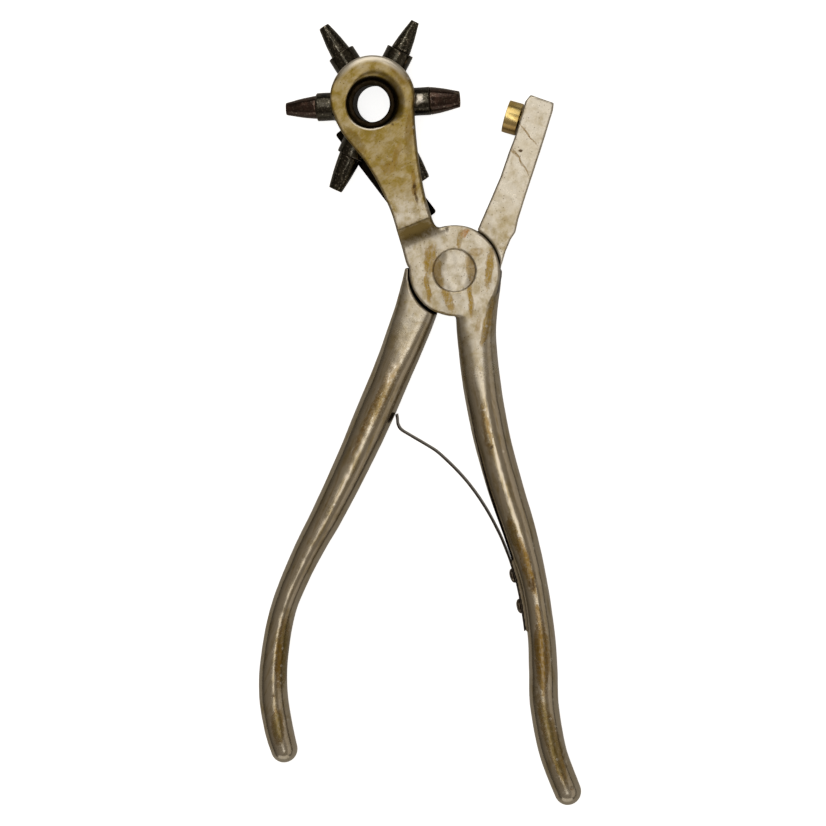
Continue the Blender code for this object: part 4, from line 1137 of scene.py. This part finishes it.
for number, place in enumerate(INDEX_RIVET_PLACES, start=1):
    node = f"index_rivet_{number}"
    low, high = node_box(node)
    centre = Vector(INDEX_END) + along(INDEX_ANGLE, place)
    head_r = (high[0] - low[0]) / 2
    upright = Matrix.Translation((centre.x, centre.y, 0)) @ Matrix.Rotation(math.pi, 4, "X")
    profile = [(0.0, -high[2]), (1.0, -high[2]), (1.0, -0.4)] + dome(head_r, -0.4, 0.35)
    item = lathe(f"{node}_peened", profile, 48, upright)
    waver(item, 0.03, 1.2, 50 + number)
    dress(item, dark_rivet, "punch_lever", "spring_steel", node)

for number, (node, (x, y, angle)) in enumerate(SPRING_RIVETS.items()):
    facing = (Matrix.Translation((x, y, MID_Z)) @ Matrix.Rotation(angle, 4, "Z") @ LEVEL)
    base = SPRING_T / 2 + GAP / 2
    profile = [(0.0, -4.0), (1.1, -4.0), (1.1, base)] + dome(2.15, base, 1.2)
    item = lathe(f"{node}_peened", profile, 56, facing)
    waver(item, 0.05, 1.3, 55 + number)
    dress(item, dark_rivet, "punch_lever", "spring_steel", node)


def handle_spring():
    """A leaf of rounded section along a smooth path, with a rolled hook at its free end."""
    path = smooth_path(SPRING_PATH, 8)
    half_t = SPRING_T / 2
    section = []
    for sign_t, sign_w in ((1, 1), (-1, 1), (-1, -1), (1, -1)):
        for k in range(3):
            turn = math.radians(45 * k)
            along_t, along_w = (math.cos(turn), math.sin(turn)) if sign_t == sign_w else (
                math.sin(turn), math.cos(turn))
            section.append((sign_t * (half_t - 0.12 + 0.12 * along_t),
                            sign_w * (SPRING_HALF_WIDTH - 0.12 + 0.12 * along_w)))
    points = []
    for i, here in enumerate(path):
        run = (Vector(path[min(i + 1, len(path) - 1)]) - Vector(path[max(i - 1, 0)])).normalized()
        side = Vector((run.y, -run.x))
        for t, w in section:
            points.append((here[0] + side.x * t, here[1] + side.y * t, MID_Z + w))
    sides = len(section)
    quads = []
    for row in range(len(path) - 1):
        for i in range(sides):
            j = (i + 1) % sides
            quads.append((row * sides + i, row * sides + j,
                          (row + 1) * sides + j, (row + 1) * sides + i))
    last = (len(path) - 1) * sides
    for k in range(sides // 2 - 1):
        quads.append((k, sides - 1 - k, sides - 2 - k, k + 1))
        quads.append((last + k, last + k + 1, last + sides - 2 - k, last + sides - 1 - k))
    return mesh_object("handle_spring_leaf", points, quads)


spring = handle_spring()
waver(spring, 0.03, 3.0, 61)
dress(spring, dark_spring, None, "spring_steel", "handle_spring")
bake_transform(spring)

# ---- anvil ---------------------------------------------------------------------------------------
anvil_profile = softened(
    [(0.0, -ANVIL_T - ANVIL_SHANK_L), (ANVIL_SHANK_R, -ANVIL_T - ANVIL_SHANK_L),
     (ANVIL_SHANK_R, -ANVIL_T), (ANVIL_R, -ANVIL_T), (ANVIL_R, 0.0), (3.4, 0.0), (3.2, -0.12),
     (3.0, 0.0), (2.0, 0.0), (1.85, -0.1), (1.7, 0.0), (0.0, 0.0)], 0.22, 4)
anvil_frame = (Matrix.Translation((ANVIL_FACE[0], ANVIL_FACE[1], MID_Z))
               @ Matrix.Rotation(ANVIL_ANGLE, 4, "Z") @ LEVEL)
anvil = lathe("anvil_turned", anvil_profile, 96, anvil_frame)
waver(anvil, 0.015, 2.4, 71)
dress(anvil, brass, "anvil_lever", "brass", "anvil")


# ---- stage, light and camera ---------------------------------------------------------------------
def pale_floor():
    """A plain white floor that stays white to the eye and gives the metal a dim grey to mirror."""
    half = 3.0
    corners = [(x * half, y * half, -0.0002) for x, y in ((-1, -1), (1, -1), (1, 1), (-1, 1))]
    mesh = bpy.data.meshes.new("floor")
    mesh.from_pydata(corners, [], [(0, 1, 2, 3)])
    floor = bpy.data.objects.new("floor", mesh)
    bpy.context.scene.collection.objects.link(floor)
    material = bpy.data.materials.new("pale_floor")
    material.use_nodes = True
    tree = material.node_tree
    tree.nodes.clear()
    output = tree.nodes.new("ShaderNodeOutputMaterial")
    ray = tree.nodes.new("ShaderNodeLightPath")
    choose = tree.nodes.new("ShaderNodeMixShader")

    def surface(diffuse, emitted, strength):
        matt = tree.nodes.new("ShaderNodeBsdfDiffuse")
        matt.inputs["Color"].default_value = (*diffuse, 1)
        glow = tree.nodes.new("ShaderNodeEmission")
        glow.inputs["Color"].default_value = (*emitted, 1)
        glow.inputs["Strength"].default_value = strength
        total = tree.nodes.new("ShaderNodeAddShader")
        tree.links.new(matt.outputs[0], total.inputs[0])
        tree.links.new(glow.outputs[0], total.inputs[1])
        return total.outputs[0]

    mirrored = surface((0.50, 0.48, 0.44), (1.0, 0.97, 0.92), 0.09)
    seen = surface((0.9, 0.9, 0.9), (1, 1, 1), 0.86)
    tree.links.new(ray.outputs["Is Camera Ray"], choose.inputs[0])
    tree.links.new(mirrored, choose.inputs[1])
    tree.links.new(seen, choose.inputs[2])
    tree.links.new(choose.outputs[0], output.inputs[0])
    mesh.materials.append(material)


def soft_light(name, place, size, radiance, tint=(1, 1, 1)):
    """A softbox of the given width and length in metres, facing the punch."""
    data = bpy.data.lights.new(name, "AREA")
    data.shape = "RECTANGLE"
    data.size, data.size_y = size
    data.energy = radiance * math.pi * size[0] * size[1]
    data.color = tint
    lamp = bpy.data.objects.new(name, data)
    lamp.location = place
    aim = Vector((-0.01, -0.04, 0.0)) - Vector(place)
    lamp.rotation_euler = aim.to_track_quat("-Z", "Y").to_euler()
    bpy.context.scene.collection.objects.link(lamp)


def studio():
    world = bpy.data.worlds.new("studio")
    bpy.context.scene.world = world
    world.use_nodes = True
    tree = world.node_tree
    background = tree.nodes["Background"]
    place = tree.nodes.new("ShaderNodeTexCoord")
    parts = tree.nodes.new("ShaderNodeSeparateXYZ")
    rise = tree.nodes.new("ShaderNodeValToRGB")
    rise.color_ramp.elements[0].position = 0.0
    rise.color_ramp.elements[0].color = (0.055, 0.048, 0.036, 1)
    rise.color_ramp.elements[1].position = 0.9
    rise.color_ramp.elements[1].color = (0.27, 0.235, 0.19, 1)
    tree.links.new(place.outputs["Generated"], parts.inputs[0])
    tree.links.new(parts.outputs[2], rise.inputs[0])
    tree.links.new(rise.outputs[0], background.inputs[0])
    soft_light("overhead_softbox", (-0.12, 0.22, 1.25), (0.30, 1.4), 1.65, (1.0, 0.98, 0.94))
    soft_light("right_fill", (1.05, -0.1, 0.65), (1.8, 0.9), 0.30, (1.0, 0.91, 0.79))
    soft_light("far_fill", (-0.1, 1.0, 0.80), (0.9, 0.9), 1.00, (1.0, 0.96, 0.88))
    soft_light("near_fill", (0.0, -1.3, 0.42), (1.9, 1.0), 0.52, (1.0, 0.94, 0.85))


def photographer():
    data = bpy.data.cameras.new("camera")
    data.lens = 150.3
    data.sensor_width = 36.0
    data.clip_start, data.clip_end = 0.05, 20.0
    camera = bpy.data.objects.new("camera", data)
    place = Vector((0.08705, 0.02333, 0.99843))
    camera.location = place
    forward = (Vector((-0.01245, -0.04137, 0.0055)) - place).normalized()
    right = forward.cross(Vector((0, 1, 0))).normalized()
    up = right.cross(forward)
    camera.rotation_euler = Matrix((right, up, -forward)).transposed().to_euler()
    bpy.context.scene.collection.objects.link(camera)
    bpy.context.scene.camera = camera


pale_floor()
studio()
photographer()
bpy.context.scene.view_settings.view_transform = "Standard"
